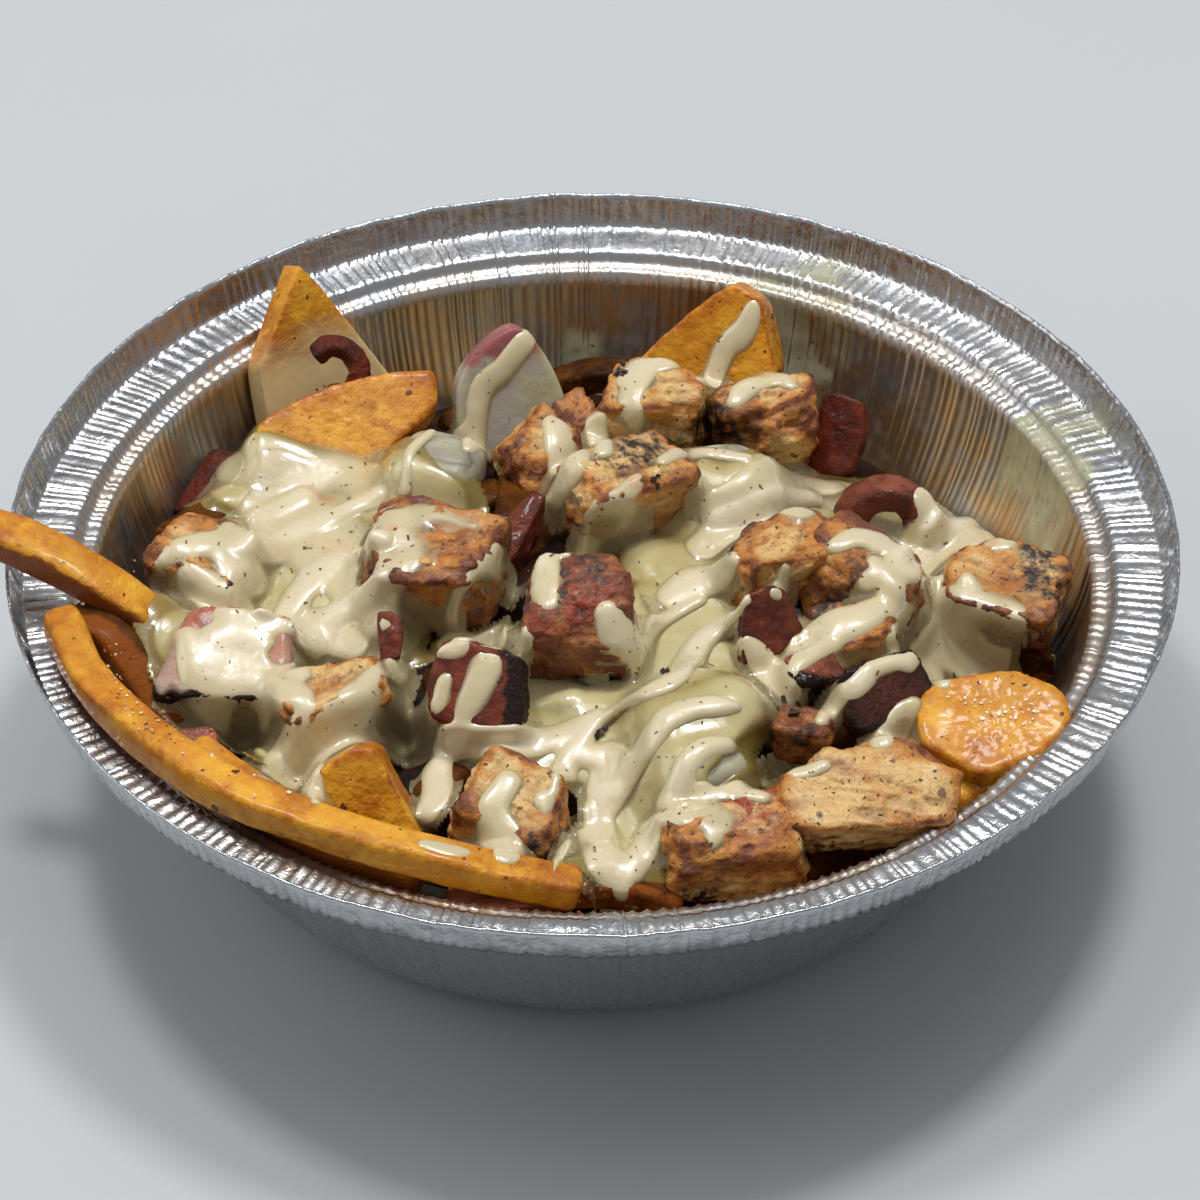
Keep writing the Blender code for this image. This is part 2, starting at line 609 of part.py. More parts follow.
def make_toppings(parts, cutters, materials):
    """Chicken, bacon and onion, each with a grown twin that cuts what lies against it."""
    toppings = []
    for i, (x, y, z, width, depth, height, turn, lean) in enumerate(chicken_pieces):
        name = f"chicken_{i + 1:02d}"
        place = place_matrix(x, y, z, turn, lean)
        size = (width, depth, height)
        piece = make_chunk(name, size, place, i + 1, parts, materials["chicken"])
        twin = make_chunk(name + "_room", size, place, i + 1, cutters, None, grow=twin_grow)
        toppings.append((piece, twin))
    for i, (x, y, z, width, length, thick, turn, lean, bend) in enumerate(bacon_pieces):
        name = f"bacon_{i + 1:02d}"
        place = place_matrix(x, y, z, turn, lean)
        size = (width, length, thick)
        piece = make_plate(name, size, bend, place, i + 1, parts, materials["bacon"])
        twin = make_plate(name + "_room", size, bend, place, i + 1, cutters, None, grow=twin_grow)
        toppings.append((piece, twin))
    for i, (x, y, z, width, depth, height, turn, lean) in enumerate(onion_pieces):
        name = f"onion_{i + 1:02d}"
        place = place_matrix(x, y, z, turn, lean)
        size = (width, depth, height)
        piece = make_chunk(name, size, place, i + 31, parts, materials["onion"], 0.0, 2, 2.4, 0.08)
        twin = make_chunk(name + "_room", size, place, i + 31, cutters, None, twin_grow, 2, 2.4, 0.08)
        toppings.append((piece, twin))
    return toppings


def fit_toppings(toppings, foil_room):
    """Cut each topping by the earlier ones and by the foil, so that all stay a gap apart."""
    for i, (piece, _) in enumerate(toppings):
        for _, twin in toppings[:i]:
            if boxes_meet(piece, twin):
                boolean(piece, "DIFFERENCE", twin)
        if max(vert.co.xy.length for vert in piece.data.vertices) > wall_reach * mm:
            boolean(piece, "DIFFERENCE", foil_room)


def make_fries(toppings, foil_room, cutters):
    """Every fry and potato slab, cut clear of the toppings and the bowl; returns piece and twin."""
    pieces = []
    specs = list(fry_routes.values()) + filler_routes()
    for i, (route, width, height) in enumerate(specs):
        name = f"fry_{i + 1:02d}"
        piece = make_fry(name, route, width, height, cutters)
        twin = make_fry(name + "_room", route, width, height, cutters, grow=twin_grow)
        pieces.append((piece, twin))
    for name, (origin, u_way, v_way, outline, thickness) in potato_slabs.items():
        piece = make_slab(name, origin, u_way, v_way, outline, thickness, cutters)
        twin = make_slab(name + "_room", origin, u_way, v_way, outline, thickness, cutters, grow=twin_grow)
        pieces.append((piece, twin))
    for piece, _ in pieces:
        for _, room in toppings:
            if boxes_meet(piece, room):
                boolean(piece, "DIFFERENCE", room)
        boolean(piece, "DIFFERENCE", foil_room)
    return pieces


def build():
    clear_scene()
    parts = make_collection("loaded_fries")
    cutters = make_collection("cutters")
    heap_parts = make_collection("heap_parts")
    materials = {name: make_material(name) for name in colours}

    turned("foil_bowl", bowl_profile(), bowl_steps, parts, materials["foil"])
    foil_room = turned("foil_room", bowl_profile(gap), bowl_steps, cutters)
    apply_modifiers(foil_room)
    cavity = make_cavity(cutters)
    apply_modifiers(cavity)

    heap = make_core(parts, materials["fries"])
    boolean(heap, "INTERSECT", cavity)
    toppings = make_toppings(parts, cutters, materials)
    fit_toppings(toppings, foil_room)

    fries = make_fries(toppings, foil_room, cutters)
    middle = make_sauce("cheese_sauce", middle_patches, parts, materials["cheese"])
    middle_room = make_sauce("cheese_sauce_room", middle_patches, cutters, grow=gap)
    left = make_sauce("cheese_left", left_patches, parts, materials["cheese"])
    boolean(left, "DIFFERENCE", middle_room)
    for sauce in (middle, left):
        for _, room in toppings + fries:
            if boxes_meet(sauce, room):
                boolean(sauce, "DIFFERENCE", room, solver="MANIFOLD")
        boolean(sauce, "INTERSECT", cavity, solver="MANIFOLD")

    for piece, _ in fries:
        cutters.objects.unlink(piece)
        heap_parts.objects.link(piece)
    boolean(heap, "UNION", collection=heap_parts, solver="MANIFOLD")
    for piece, _ in fries:
        remove_object(piece)
    bpy.data.collections.remove(heap_parts)
    for obj in cutters.objects:
        obj.hide_render = True
        obj.display_type = "WIRE"
    for obj in parts.objects:
        obj.data.shade_smooth()
        obj.data.set_sharp_from_angle(angle=math.radians(sharp_angle))


build()
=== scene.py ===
# The looks of the loaded fries in their round foil bowl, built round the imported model.
import math
from itertools import product

import bpy
import numpy as np
from mathutils import Euler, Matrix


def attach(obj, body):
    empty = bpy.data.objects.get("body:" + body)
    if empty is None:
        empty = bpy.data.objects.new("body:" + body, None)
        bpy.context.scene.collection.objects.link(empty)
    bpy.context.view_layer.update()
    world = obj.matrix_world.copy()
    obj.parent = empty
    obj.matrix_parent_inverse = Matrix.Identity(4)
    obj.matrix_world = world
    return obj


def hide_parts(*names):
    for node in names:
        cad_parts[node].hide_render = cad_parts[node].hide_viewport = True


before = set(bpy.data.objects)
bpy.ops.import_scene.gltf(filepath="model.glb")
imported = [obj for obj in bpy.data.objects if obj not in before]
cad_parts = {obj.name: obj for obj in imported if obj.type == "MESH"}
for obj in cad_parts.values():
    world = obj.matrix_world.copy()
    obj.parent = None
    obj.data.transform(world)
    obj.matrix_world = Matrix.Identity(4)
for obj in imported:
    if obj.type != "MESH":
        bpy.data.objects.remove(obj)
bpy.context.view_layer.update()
mm = 0.001

# Where the photograph was taken from: pixels of a 1200 x 1200 image, millimetres and degrees
photo = {
    "pixels": 1200,
    "focalPixels": 3917.0,
    "distance": 619.7,
    "elevation": 40.22,
    "aimHeight": 30.0,
    "pitch": 0.0027,
    "yaw": 0.0025,
    "sensor": 36.0,
}


def makeCamera():
    # a long lens, placed on the line that leaves the aim point at the photo's elevation
    data = bpy.data.cameras.new("photoCamera")
    data.sensor_width = photo["sensor"]
    data.lens = photo["focalPixels"] * photo["sensor"] / photo["pixels"]
    data.clip_start = 0.01
    camera = bpy.data.objects.new("photoCamera", data)
    bpy.context.collection.objects.link(camera)
    rise = math.radians(photo["elevation"])
    away = photo["distance"]
    camera.location = (0, -away * math.cos(rise) * mm, (away * math.sin(rise) + photo["aimHeight"]) * mm)
    camera.rotation_euler = (math.pi / 2 - rise + photo["pitch"], 0, -photo["yaw"])
    bpy.context.scene.camera = camera
    return camera


camera = makeCamera()
bpy.context.scene.view_settings.view_transform = "Standard"  # colours are named as the eye sees them


def sightLines(pixels):
    # start + t * ray: forward + right * (px - centre) / focal + up * (centre - py) / focal
    turn = np.array(Euler(camera.rotation_euler).to_matrix())
    centre = photo["pixels"] / 2
    across = (pixels[:, :1] - centre) / photo["focalPixels"]
    up = (centre - pixels[:, 1:2]) / photo["focalPixels"]
    rays = across * turn[:, 0] + up * turn[:, 1] - turn[:, 2]
    return np.array(camera.location) / mm, rays


# Noise, grids and meshes shared by every piece

def lattice(cell, seed):
    # one repeatable number from 0 to 1 for each whole-number cell
    x, y, z = (cell[..., axis].astype(np.int64).astype(np.uint32) for axis in range(3))
    mix = x * np.uint32(374761393) + y * np.uint32(668265263) + z * np.uint32(2246822519)
    mix = mix + np.uint32(seed * 7919 + 17)
    mix = (mix ^ (mix >> np.uint32(13))) * np.uint32(1274126177)
    mix = (mix ^ (mix >> np.uint32(15))) * np.uint32(2654435761)
    return (mix ^ (mix >> np.uint32(16))) / 4294967295.0


def noise(points, size, seed=0, octaves=3):
    # from -1 to 1: the eight random corners round a point blended by 3t^2 - 2t^3, in halving octaves
    total = 0.0
    weights = 0.5 ** np.arange(octaves)
    for octave, weight in enumerate(weights):
        place = np.asarray(points, float) / size * 2 ** octave
        cell = np.floor(place)
        part = place - cell
        part = part * part * (3 - 2 * part)
        value = 0.0
        for corner in product((0, 1), repeat=3):
            share = np.prod(np.where(corner, part, 1 - part), axis=-1)
            value = value + share * lattice(cell + corner, seed + octave * 31)
        total = total + weight * (2 * value - 1)
    return total / weights.sum()


def ease(value, low, high):
    # smooth step from 0 at low to 1 at high
    t = np.clip((value - low) / (high - low), 0, 1)
    return t * t * (3 - 2 * t)


def unit(vectors):
    # each vector made one long
    return vectors / np.linalg.norm(vectors, axis=-1, keepdims=True)


def lengthAlong(points):
    # distance from the first point to each, along the line
    return np.concatenate([[0], np.cumsum(np.linalg.norm(np.diff(points, axis=0), axis=1))])


def makePiece(name, points, faces, material, nodes=(), values=None, smooth=True):
    # one object at the origin from points in millimetres, with its per-vertex values as attributes
    mesh = bpy.data.meshes.new(name)
    rows = [row for group in faces for row in group.tolist()]
    mesh.from_pydata((points * mm).tolist(), [], rows)
    for key, value in (values or {}).items():
        value = np.ascontiguousarray(value, dtype=np.float32)
        kind, field = ("FLOAT_VECTOR", "vector") if value.ndim == 2 else ("FLOAT", "value")
        mesh.attributes.new(key, kind, "POINT").data.foreach_set(field, value.ravel())
    if smooth:
        mesh.shade_smooth()
    mesh.materials.append(material)
    piece = bpy.data.objects.new(name, mesh)
    bpy.context.collection.objects.link(piece)
    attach(piece, "root")
    if nodes:
        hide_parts(*nodes)
    return piece


def gridFaces(rows, columns, closeColumns=False):
    # quads of a rows x columns grid of vertices, the last column joined to the first where it is closed
    index = np.arange(rows * columns).reshape(rows, columns)
    if closeColumns:
        index = np.hstack([index, index[:, :1]])
    return np.stack([index[:-1, :-1], index[1:, :-1], index[1:, 1:], index[:-1, 1:]], -1).reshape(-1, 4)


def closedTube(rings):
    # rings (n, m, 3) joined in order, with a pole at the middle of the first and the last
    count, around = rings.shape[:2]
    points = np.vstack([rings.reshape(-1, 3), rings[0].mean(0), rings[-1].mean(0)])
    step = np.arange(around)
    after = (step + 1) % around
    first, last = count * around, count * around + 1
    end = (count - 1) * around
    caps = np.vstack([
        np.stack([np.full(around, first), after, step], -1),
        np.stack([np.full(around, last), end + step, end + after], -1),
    ])
    return points, [gridFaces(count, around, closeColumns=True)[:, ::-1], caps]


cubeSpheres = {}


def cubeSphere(count):
    # directions over a ball: a grid on each side of a cube, evened out by tan and pushed onto the ball
    if count not in cubeSpheres:
        even = np.tan(np.linspace(-1, 1, count + 1) * math.pi / 4)
        u, v = np.meshgrid(even, even, indexing="ij")
        one = np.ones_like(u)
        sides = [(one, u, v), (-one, v, u), (v, one, u), (u, -one, v), (u, v, one), (v, u, -one)]
        points = np.concatenate([np.stack(side, -1).reshape(-1, 3) for side in sides])
        points = unit(points)
        quads = gridFaces(count + 1, count + 1)
        quads = np.concatenate([quads + side * (count + 1) ** 2 for side in range(6)])
        merged, back = np.unique(np.round(points, 6), axis=0, return_inverse=True)
        cubeSpheres[count] = (unit(merged), back.reshape(-1)[quads])
    return cubeSpheres[count]


boxSides = np.vstack([np.eye(3), -np.eye(3)])


def cutBlock(normals, reaches, count, sharp):
    # distance along each direction d is (sum over the cuts of max(0, d.n / reach) ^ sharp) ^ (-1 / sharp)
    away, quads = cubeSphere(count)
    pull = np.maximum(0, away @ normals.T / reaches)
    radius = (pull ** sharp).sum(1) ** (-1 / sharp)
    edge = (1 - (pull * radius[:, None]).max(1)) / (1 - 0.5 ** (1 / sharp))
    return away * radius[:, None], [quads], np.clip(edge, 0, 1)


def turned(points, turn, lean):
    # Rz(turn) . Rx(lean) . point
    t, l = math.radians(turn), math.radians(lean)
    spin = np.array([[math.cos(t), -math.sin(t), 0], [math.sin(t), math.cos(t), 0], [0, 0, 1]])
    tip = np.array([[1, 0, 0], [0, math.cos(l), -math.sin(l)], [0, math.sin(l), math.cos(l)]])
    return points @ (spin @ tip).T


def routePoints(points, count):
    # Catmull-Rom curve through the points, evened out by length
    points = np.asarray(points, float)
    padded = np.vstack([2 * points[0] - points[1], points, 2 * points[-1] - points[-2]])
    t = np.linspace(0, 1, 24, endpoint=False)[:, None]
    fine = []
    for a, b, c, d in zip(padded, padded[1:], padded[2:], padded[3:]):
        fine.append(0.5 * (2 * b + (c - a) * t + (2 * a - 5 * b + 4 * c - d) * t ** 2
                           + (3 * b - a - 3 * c + d) * t ** 3))
    fine = np.vstack(fine + [points[-1:]])
    along = lengthAlong(fine[:, :3])
    steps = np.linspace(0, along[-1], count)
    return np.stack([np.interp(steps, along, fine[:, axis]) for axis in range(fine.shape[1])], -1)


def blended(groups):
    # several (points, faces, values) joined as one
    points, faces, values, start = [], {}, {}, 0
    for part, partFaces, partValues in groups:
        points.append(part)
        for group in partFaces:
            faces.setdefault(group.shape[1], []).append(group + start)
        for key, value in partValues.items():
            values.setdefault(key, []).append(value)
        start += len(part)
    joined = {key: np.concatenate(value) for key, value in values.items()}
    return np.vstack(points), [np.vstack(group) for group in faces.values()], joined


# Shader building blocks

def paint(red, green, blue):
    # a colour as the eye sees it, 0 to 255, made linear
    seen = np.array([red, green, blue]) / 255
    linear = np.where(seen <= 0.04045, seen / 12.92, ((seen + 0.055) / 1.055) ** 2.4)
    return (*linear.tolist(), 1.0)


def node(tree, kind, inputs=None, **settings):
    # a new node with its settings; an input takes a value, or another node's output
    made = tree.nodes.new(kind)
    for key, value in settings.items():
        setattr(made, key, value)
    for key, value in (inputs or {}).items():
        if isinstance(value, bpy.types.NodeSocket):
            tree.links.new(value, made.inputs[key])
        else:
            made.inputs[key].default_value = value
    return made


def mixColour(tree, factor, first, second, blend="MIX"):
    return node(tree, "ShaderNodeMix", {0: factor, 6: first, 7: second},
                data_type="RGBA", blend_type=blend).outputs[2]


def reckon(tree, operation, first, second):
    return node(tree, "ShaderNodeMath", {0: first, 1: second}, operation=operation).outputs[0]


def times(tree, first, second):
    return reckon(tree, "MULTIPLY", first, second)


def plus(tree, first, second):
    return reckon(tree, "ADD", first, second)


def vectorMath(tree, operation, inputs):
    return node(tree, "ShaderNodeVectorMath", inputs, operation=operation).outputs[0]


def stain(tree, colour, mask, share, over):
    # the colour, part covered by another where the mask is
    return mixColour(tree, times(tree, mask, share), colour, over)


def ramp(tree, value, low, high, start=0.0, end=1.0):
    return node(tree, "ShaderNodeMapRange", {0: value, 1: low, 2: high, 3: start, 4: end},
                interpolation_type="SMOOTHSTEP").outputs[0]


def place(tree):
    return node(tree, "ShaderNodeTexCoord").outputs["Object"]


def noiseNode(tree, vector, scale, detail=3.0, rough=0.55, distortion=0.0):
    return node(tree, "ShaderNodeTexNoise", {
        "Vector": vector, "Scale": scale, "Detail": detail, "Roughness": rough, "Distortion": distortion,
    }).outputs[0]


def attribute(tree, name, output="Fac"):
    return node(tree, "ShaderNodeAttribute", attribute_name=name).outputs[output]


def makeGroup(name, inputs, outputs):
    # an empty node group with float inputs and its named outputs
    tree = bpy.data.node_groups.new(name, "ShaderNodeTree")
    for label, value in inputs.items():
        tree.interface.new_socket(label, in_out="INPUT", socket_type="NodeSocketFloat").default_value = value
    for label, kind in outputs.items():
        tree.interface.new_socket(label, in_out="OUTPUT", socket_type=kind)
    return tree, tree.nodes.new("NodeGroupInput").outputs, tree.nodes.new("NodeGroupOutput").inputs


def makeFlecks():
    # specks of one size in a share of the cells of a grid, their outlines frayed by noise
    tree, given, out = makeGroup("flecks", {"Scale": 300.0, "Size": 0.2, "Share": 0.3, "Fray": 0.002},
                                 {"Mask": "NodeSocketFloat"})
    here = place(tree)
    stir = node(tree, "ShaderNodeTexNoise", {"Vector": here, "Scale": 900.0, "Detail": 1.0}).outputs[1]
    frayed = vectorMath(tree, "SUBTRACT", {0: stir, 1: (0.5, 0.5, 0.5)})
    frayed = vectorMath(tree, "SCALE", {0: frayed, 3: given["Fray"]})
    moved = vectorMath(tree, "ADD", {0: here, 1: frayed})
    cells = node(tree, "ShaderNodeTexVoronoi", {"Vector": moved, "Scale": given["Scale"]})
    chance = node(tree, "ShaderNodeSeparateColor", {0: cells.outputs["Color"]})
    size = times(tree, given["Size"], plus(tree, chance.outputs[1], 0.35))
    inside = reckon(tree, "LESS_THAN", cells.outputs["Distance"], size)
    chosen = reckon(tree, "LESS_THAN", chance.outputs[0], given["Share"])
    tree.links.new(times(tree, inside, chosen), out["Mask"])
    return tree


def makeBlotches():
    # cloudy patches: noise between two levels
    tree, given, out = makeGroup("blotches", {"Scale": 200.0, "Low": 0.45, "High": 0.6, "Shift": 0.0},
                                 {"Mask": "NodeSocketFloat"})
    moved = vectorMath(tree, "ADD", {0: place(tree), 1: given["Shift"]})
    cloud = node(tree, "ShaderNodeTexNoise", {"Vector": moved, "Scale": given["Scale"], "Detail": 4.0,
                                              "Roughness": 0.62}).outputs[0]
    tree.links.new(ramp(tree, cloud, given["Low"], given["High"]), out["Mask"])
    return tree


fleckGroup = makeFlecks()
blotchGroup = makeBlotches()


def grouped(tree, group, values):
    # one group placed in a material, with its own values
    made = tree.nodes.new("ShaderNodeGroup")
    made.node_tree = group
    for key, value in values.items():
        made.inputs[key].default_value = value
    return made.outputs[0]


def flecks(tree, scale, size, share, fray=0.0012):
    return grouped(tree, fleckGroup, {"Scale": scale, "Size": size, "Share": share, "Fray": fray})


def blotches(tree, scale, low, high, shift=0.0):
    return grouped(tree, blotchGroup, {"Scale": scale, "Low": low, "High": high, "Shift": shift})


def newMaterial(name, settings):
    # a material whose Principled shader has these fixed values
    material = bpy.data.materials.new(name)
    material.use_nodes = True
    tree = material.node_tree
    shader = tree.nodes["Principled BSDF"]
    for key, value in settings.items():
        shader.inputs[key].default_value = value
    return material, tree, shader


def feed(tree, shader, colour=None, roughness=None, height=None, depth=0.0002):
    # join worked-out colour, roughness and relief to a shader
    if colour is not None:
        tree.links.new(colour, shader.inputs["Base Color"])
    if roughness is not None:
        tree.links.new(roughness, shader.inputs["Roughness"])
    if height is not None:
        bump = node(tree, "ShaderNodeBump", {"Height": height, "Distance": depth, "Strength": 1.0})
        tree.links.new(bump.outputs[0], shader.inputs["Normal"])


def foilMaterial():
    material, tree, shader = newMaterial("bright foil", {"Metallic": 1.0, "Specular IOR Level": 0.5})
    here = place(tree)
    greasy = times(tree, attribute(tree, "grease"), blotches(tree, 90.0, 0.3, 0.62))
    colour = mixColour(tree, greasy, paint(194, 197, 201), paint(236, 190, 124))
    scuffed = blotches(tree, 420.0, 0.45, 0.7, 3.0)
    colour = mixColour(tree, times(tree, scuffed, 0.35), colour, paint(168, 170, 174))
    crinkle = times(tree, noiseNode(tree, here, 420.0, 4.0, 0.6, 0.6), attribute(tree, "crimp"))
    roughness = plus(tree, times(tree, scuffed, 0.12), 0.24)
    roughness = plus(tree, roughness, times(tree, attribute(tree, "grease"), 0.24))
    feed(tree, shader, colour, roughness, crinkle, 0.00025)
    return material


def fryMaterial(name, bright, dull, brown, gloss=0.22):
    material, tree, shader = newMaterial(name, {
        "Specular IOR Level": gloss, "Coat Weight": gloss, "Coat Roughness": 0.16, "Subsurface Weight": 0.25,
        "Subsurface Radius": (1.0, 0.45, 0.1), "Subsurface Scale": 0.003,
    })
    here = place(tree)
    crisp = attribute(tree, "crisp")
    skin = attribute(tree, "skin")
    colour = mixColour(tree, blotches(tree, 160.0, 0.35, 0.65), bright, dull)
    colour = stain(tree, colour, blotches(tree, 75.0, 0.42, 0.7, 6.0), 0.35, brown)
    colour = stain(tree, colour, blotches(tree, 420.0, 0.36, 0.58, 2.0), crisp, brown)
    colour = mixColour(tree, ramp(tree, skin, 0.25, 0.75), colour, paint(134, 72, 22))
    colour = stain(tree, colour, blotches(tree, 130.0, 0.5, 0.7, 4.0), 0.7, brown)
    pale = attribute(tree, "pale")
    colour = mixColour(tree, times(tree, pale, 0.72), colour, paint(214, 202, 156))
    colour = mixColour(tree, flecks(tree, 330.0, 0.2, 0.1), colour, paint(92, 44, 16))
    colour = mixColour(tree, flecks(tree, 800.0, 0.2, 0.14), colour, paint(120, 62, 18))
    blister = noiseNode(tree, here, 620.0, 4.0, 0.65)
    relief = times(tree, blister, reckon(tree, "SUBTRACT", 1.0, times(tree, pale, 0.85)))
    feed(tree, shader, colour, ramp(tree, blister, 0.3, 0.7, 0.26, 0.46), relief, 0.0005)
    return material


def deepShadeMaterial():
    material, tree, shader = newMaterial("heap core in painted deep shade", {"Specular IOR Level": 0.12})
    # near-black browns: painted shade for the deep gaps between the pieces of the heap
    cloud = noiseNode(tree, place(tree), 260.0, 4.0)
    colour = mixColour(tree, ramp(tree, cloud, 0.35, 0.7), paint(20, 10, 4), paint(52, 26, 9))
    feed(tree, shader, colour, ramp(tree, cloud, 0.3, 0.7, 0.6, 0.8), cloud, 0.0008)
    return material


def chickenMaterial():
    material, tree, shader = newMaterial("grilled chicken", {
        "Coat Weight": 0.14, "Coat Roughness": 0.25,
    })
    here = place(tree)
    sear = attribute(tree, "sear")
    browned = plus(tree, sear, times(tree, reckon(
        tree, "SUBTRACT", noiseNode(tree, here, 260.0, 4.0, 0.65), 0.5), 1.3))
    colour = mixColour(tree, ramp(tree, browned, 0.1, 0.62), paint(222, 182, 116), paint(198, 128, 50))
    colour = mixColour(tree, ramp(tree, browned, 0.62, 1.1), colour, paint(104, 44, 14))
    # darker brown along the sunken grooves between the meat strands: painted shade in the grooves
    grooveShade = ramp(tree, attribute(tree, "grooveShade"), 0.35, 0.8)
    shadedGrooves = times(tree, grooveShade, blotches(tree, 300.0, 0.3, 0.6, 9.0))
    colour = stain(tree, colour, shadedGrooves, 0.6, paint(126, 66, 26))
    mottled = noiseNode(tree, here, 1100.0, 4.0, 0.7)
    colour = mixColour(tree, ramp(tree, mottled, 0.52, 0.7, 0.0, 0.55), colour, paint(150, 90, 40))
    colour = mixColour(tree, flecks(tree, 950.0, 0.22, 0.3), colour, paint(96, 52, 22))
    patches = blotches(tree, 380.0, 0.36, 0.6)
    colour = stain(tree, colour, attribute(tree, "spice"), patches, paint(150, 52, 20))
    colour = stain(tree, colour, flecks(tree, 460.0, 0.26, 0.26), 0.75, paint(84, 44, 20))
    colour = mixColour(tree, flecks(tree, 300.0, 0.13, 0.12, 0.002), colour, paint(52, 32, 18))
    burnt = times(tree, ramp(tree, attribute(tree, "char"), 0.15, 0.8),
                   blotches(tree, 520.0, 0.36, 0.6, 5.0))
    colour = mixColour(tree, burnt, colour, paint(44, 24, 14))
    fine = noiseNode(tree, here, 900.0, 4.0, 0.7)
    feed(tree, shader, colour, ramp(tree, fine, 0.3, 0.7, 0.38, 0.6), fine, 0.0006)
    return material


def baconMaterial():
    material, tree, shader = newMaterial("fried bacon", {
        "Specular IOR Level": 0.2, "Coat Weight": 0.14, "Coat Roughness": 0.12,
    })
    here = place(tree)
    pink = attribute(tree, "pink")
    crust = attribute(tree, "crust")
    pale = attribute(tree, "pale")
    colour = mixColour(tree, pink, paint(100, 32, 12), paint(190, 108, 76))
    colour = stain(tree, colour, blotches(tree, 240.0, 0.4, 0.66), 0.7, paint(50, 13, 8))
    colour = mixColour(tree, pale, colour, paint(196, 184, 166))
    colour = mixColour(tree, ramp(tree, crust, 0.3, 0.8), colour, paint(32, 14, 10))
    colour = stain(tree, colour, flecks(tree, 420.0, 0.2, 0.1), 0.8, paint(28, 16, 12))
    fine = noiseNode(tree, here, 850.0, 4.0, 0.7)
    relief = times(tree, fine, plus(tree, crust, 0.35))
    feed(tree, shader, colour, ramp(tree, fine, 0.3, 0.7, 0.26, 0.48), relief, 0.0009)
    return material


def onionMaterial(name, flesh, skin):
    material, tree, shader = newMaterial(name, {
        "Specular IOR Level": 0.25, "Subsurface Weight": 0.5,
        "Subsurface Radius": (1.0, 0.85, 0.6), "Subsurface Scale": 0.004,
    })
    colour = mixColour(tree, blotches(tree, 120.0, 0.4, 0.7), flesh, paint(176, 170, 130))
    colour = mixColour(tree, ramp(tree, attribute(tree, "skin"), 0.3, 0.9), colour, skin)
    cloud = noiseNode(tree, place(tree), 400.0, 3.0)
    feed(tree, shader, colour, ramp(tree, cloud, 0.3, 0.7, 0.3, 0.45), cloud, 0.0003)
    return material


def sauceMaterial(name, body, deep, scatterShare, fleckShare, clear):
    # a glossy sauce: body colour where thick, deep and part clear where thin, with flecks and orange oil
    material, tree, shader = newMaterial(name, {
        "Coat Weight": 1.0, "Coat Roughness": 0.04, "Subsurface Weight": scatterShare,
        "Subsurface Radius": (1.0, 0.8, 0.5), "Subsurface Scale": 0.003,
    })
    here = place(tree)
    thick = attribute(tree, "thick")
    colour = mixColour(tree, ramp(tree, thick, 0.0, 1.0), deep, body)
    colour = stain(tree, colour, blotches(tree, 70.0, 0.42, 0.7), 0.4, deep)
    colour = stain(tree, colour, blotches(tree, 60.0, 0.64, 0.74, 7.0), 0.5, paint(206, 120, 70))
    colour = stain(tree, colour, flecks(tree, 760.0, 0.17, fleckShare), 0.85, paint(66, 56, 34))
    colour = stain(tree, colour, flecks(tree, 240.0, 0.13, fleckShare * 0.8, 0.003), 0.9, paint(46, 44, 30))
    if clear is not None:
        tree.links.new(ramp(tree, thick, 0.0, 0.3, clear, 1.0), shader.inputs["Alpha"])
    ripple = noiseNode(tree, here, 210.0, 3.0, 0.5)
    feed(tree, shader, colour, ramp(tree, ripple, 0.3, 0.7, 0.22, 0.34), ripple, 0.0003)
    return material


def smearMaterial():
    # a film that the foil shows through where it is thin
    material = sauceMaterial("thin cheese smear", paint(206, 204, 172), paint(186, 180, 130), 0.2, 0.1, None)
    tree = material.node_tree
    cloud = noiseNode(tree, place(tree), 190.0, 4.0)
    film = times(tree, attribute(tree, "thick"), ramp(tree, cloud, 0.3, 0.6, 0.55, 1.0))
    tree.links.new(film, tree.nodes["Principled BSDF"].inputs["Alpha"])
    return material


def specksMaterial(name, first, second, roughness, gloss=0.0):
    # small solid bits, each shaded between two colours
    material, tree, shader = newMaterial(name, {"Coat Weight": gloss, "Coat Roughness": 0.2})
    cloud = noiseNode(tree, place(tree), 700.0, 3.0)
    colour = mixColour(tree, ramp(tree, cloud, 0.35, 0.65), first, second)
    feed(tree, shader, colour, ramp(tree, cloud, 0.3, 0.7, roughness, roughness + 0.15), cloud, 0.0003)
    return material


materials = {
    "foil": foilMaterial(),
    "fry": fryMaterial("fried potato", paint(228, 168, 44), paint(208, 134, 20), paint(156, 76, 12)),
    # the same fried potato made much darker: painted shade for fries deep under the sauce and in hollows
    "shadedFry": fryMaterial("fries in painted shade", paint(108, 62, 16), paint(70, 36, 10),
                             paint(34, 17, 7), gloss=0.04),
    "core": deepShadeMaterial(),
    "chicken": chickenMaterial(),
    "bacon": baconMaterial(),
    "onion": onionMaterial("soft onion", paint(180, 174, 142), paint(150, 138, 122)),
    "ham": onionMaterial("soft ham", paint(176, 168, 156), paint(146, 84, 84)),
    "white": sauceMaterial("white sauce", paint(222, 208, 178), paint(200, 182, 138), 0.25, 0.16, 0.35),
    "melted": sauceMaterial("melted cheese", paint(206, 193, 146), paint(160, 138, 72), 0.4, 0.08, 0.6),
    "smear": smearMaterial(),
    "salt": specksMaterial("salt crystals", paint(244, 232, 208), paint(226, 196, 140), 0.25, 0.4),
    "pepper": specksMaterial("pepper and burnt bits", paint(28, 20, 16), paint(54, 36, 24), 0.4, 0.3),
    "herb": specksMaterial("dried herb bits", paint(58, 56, 30), paint(96, 84, 44), 0.6),
    "crumb": specksMaterial("golden crumbs", paint(214, 150, 70), paint(170, 100, 40), 0.5, 0.2),
}
print("materials made:", len(materials))

# The foil bowl: one pleated sheet, its middle line followed from the base to the lip

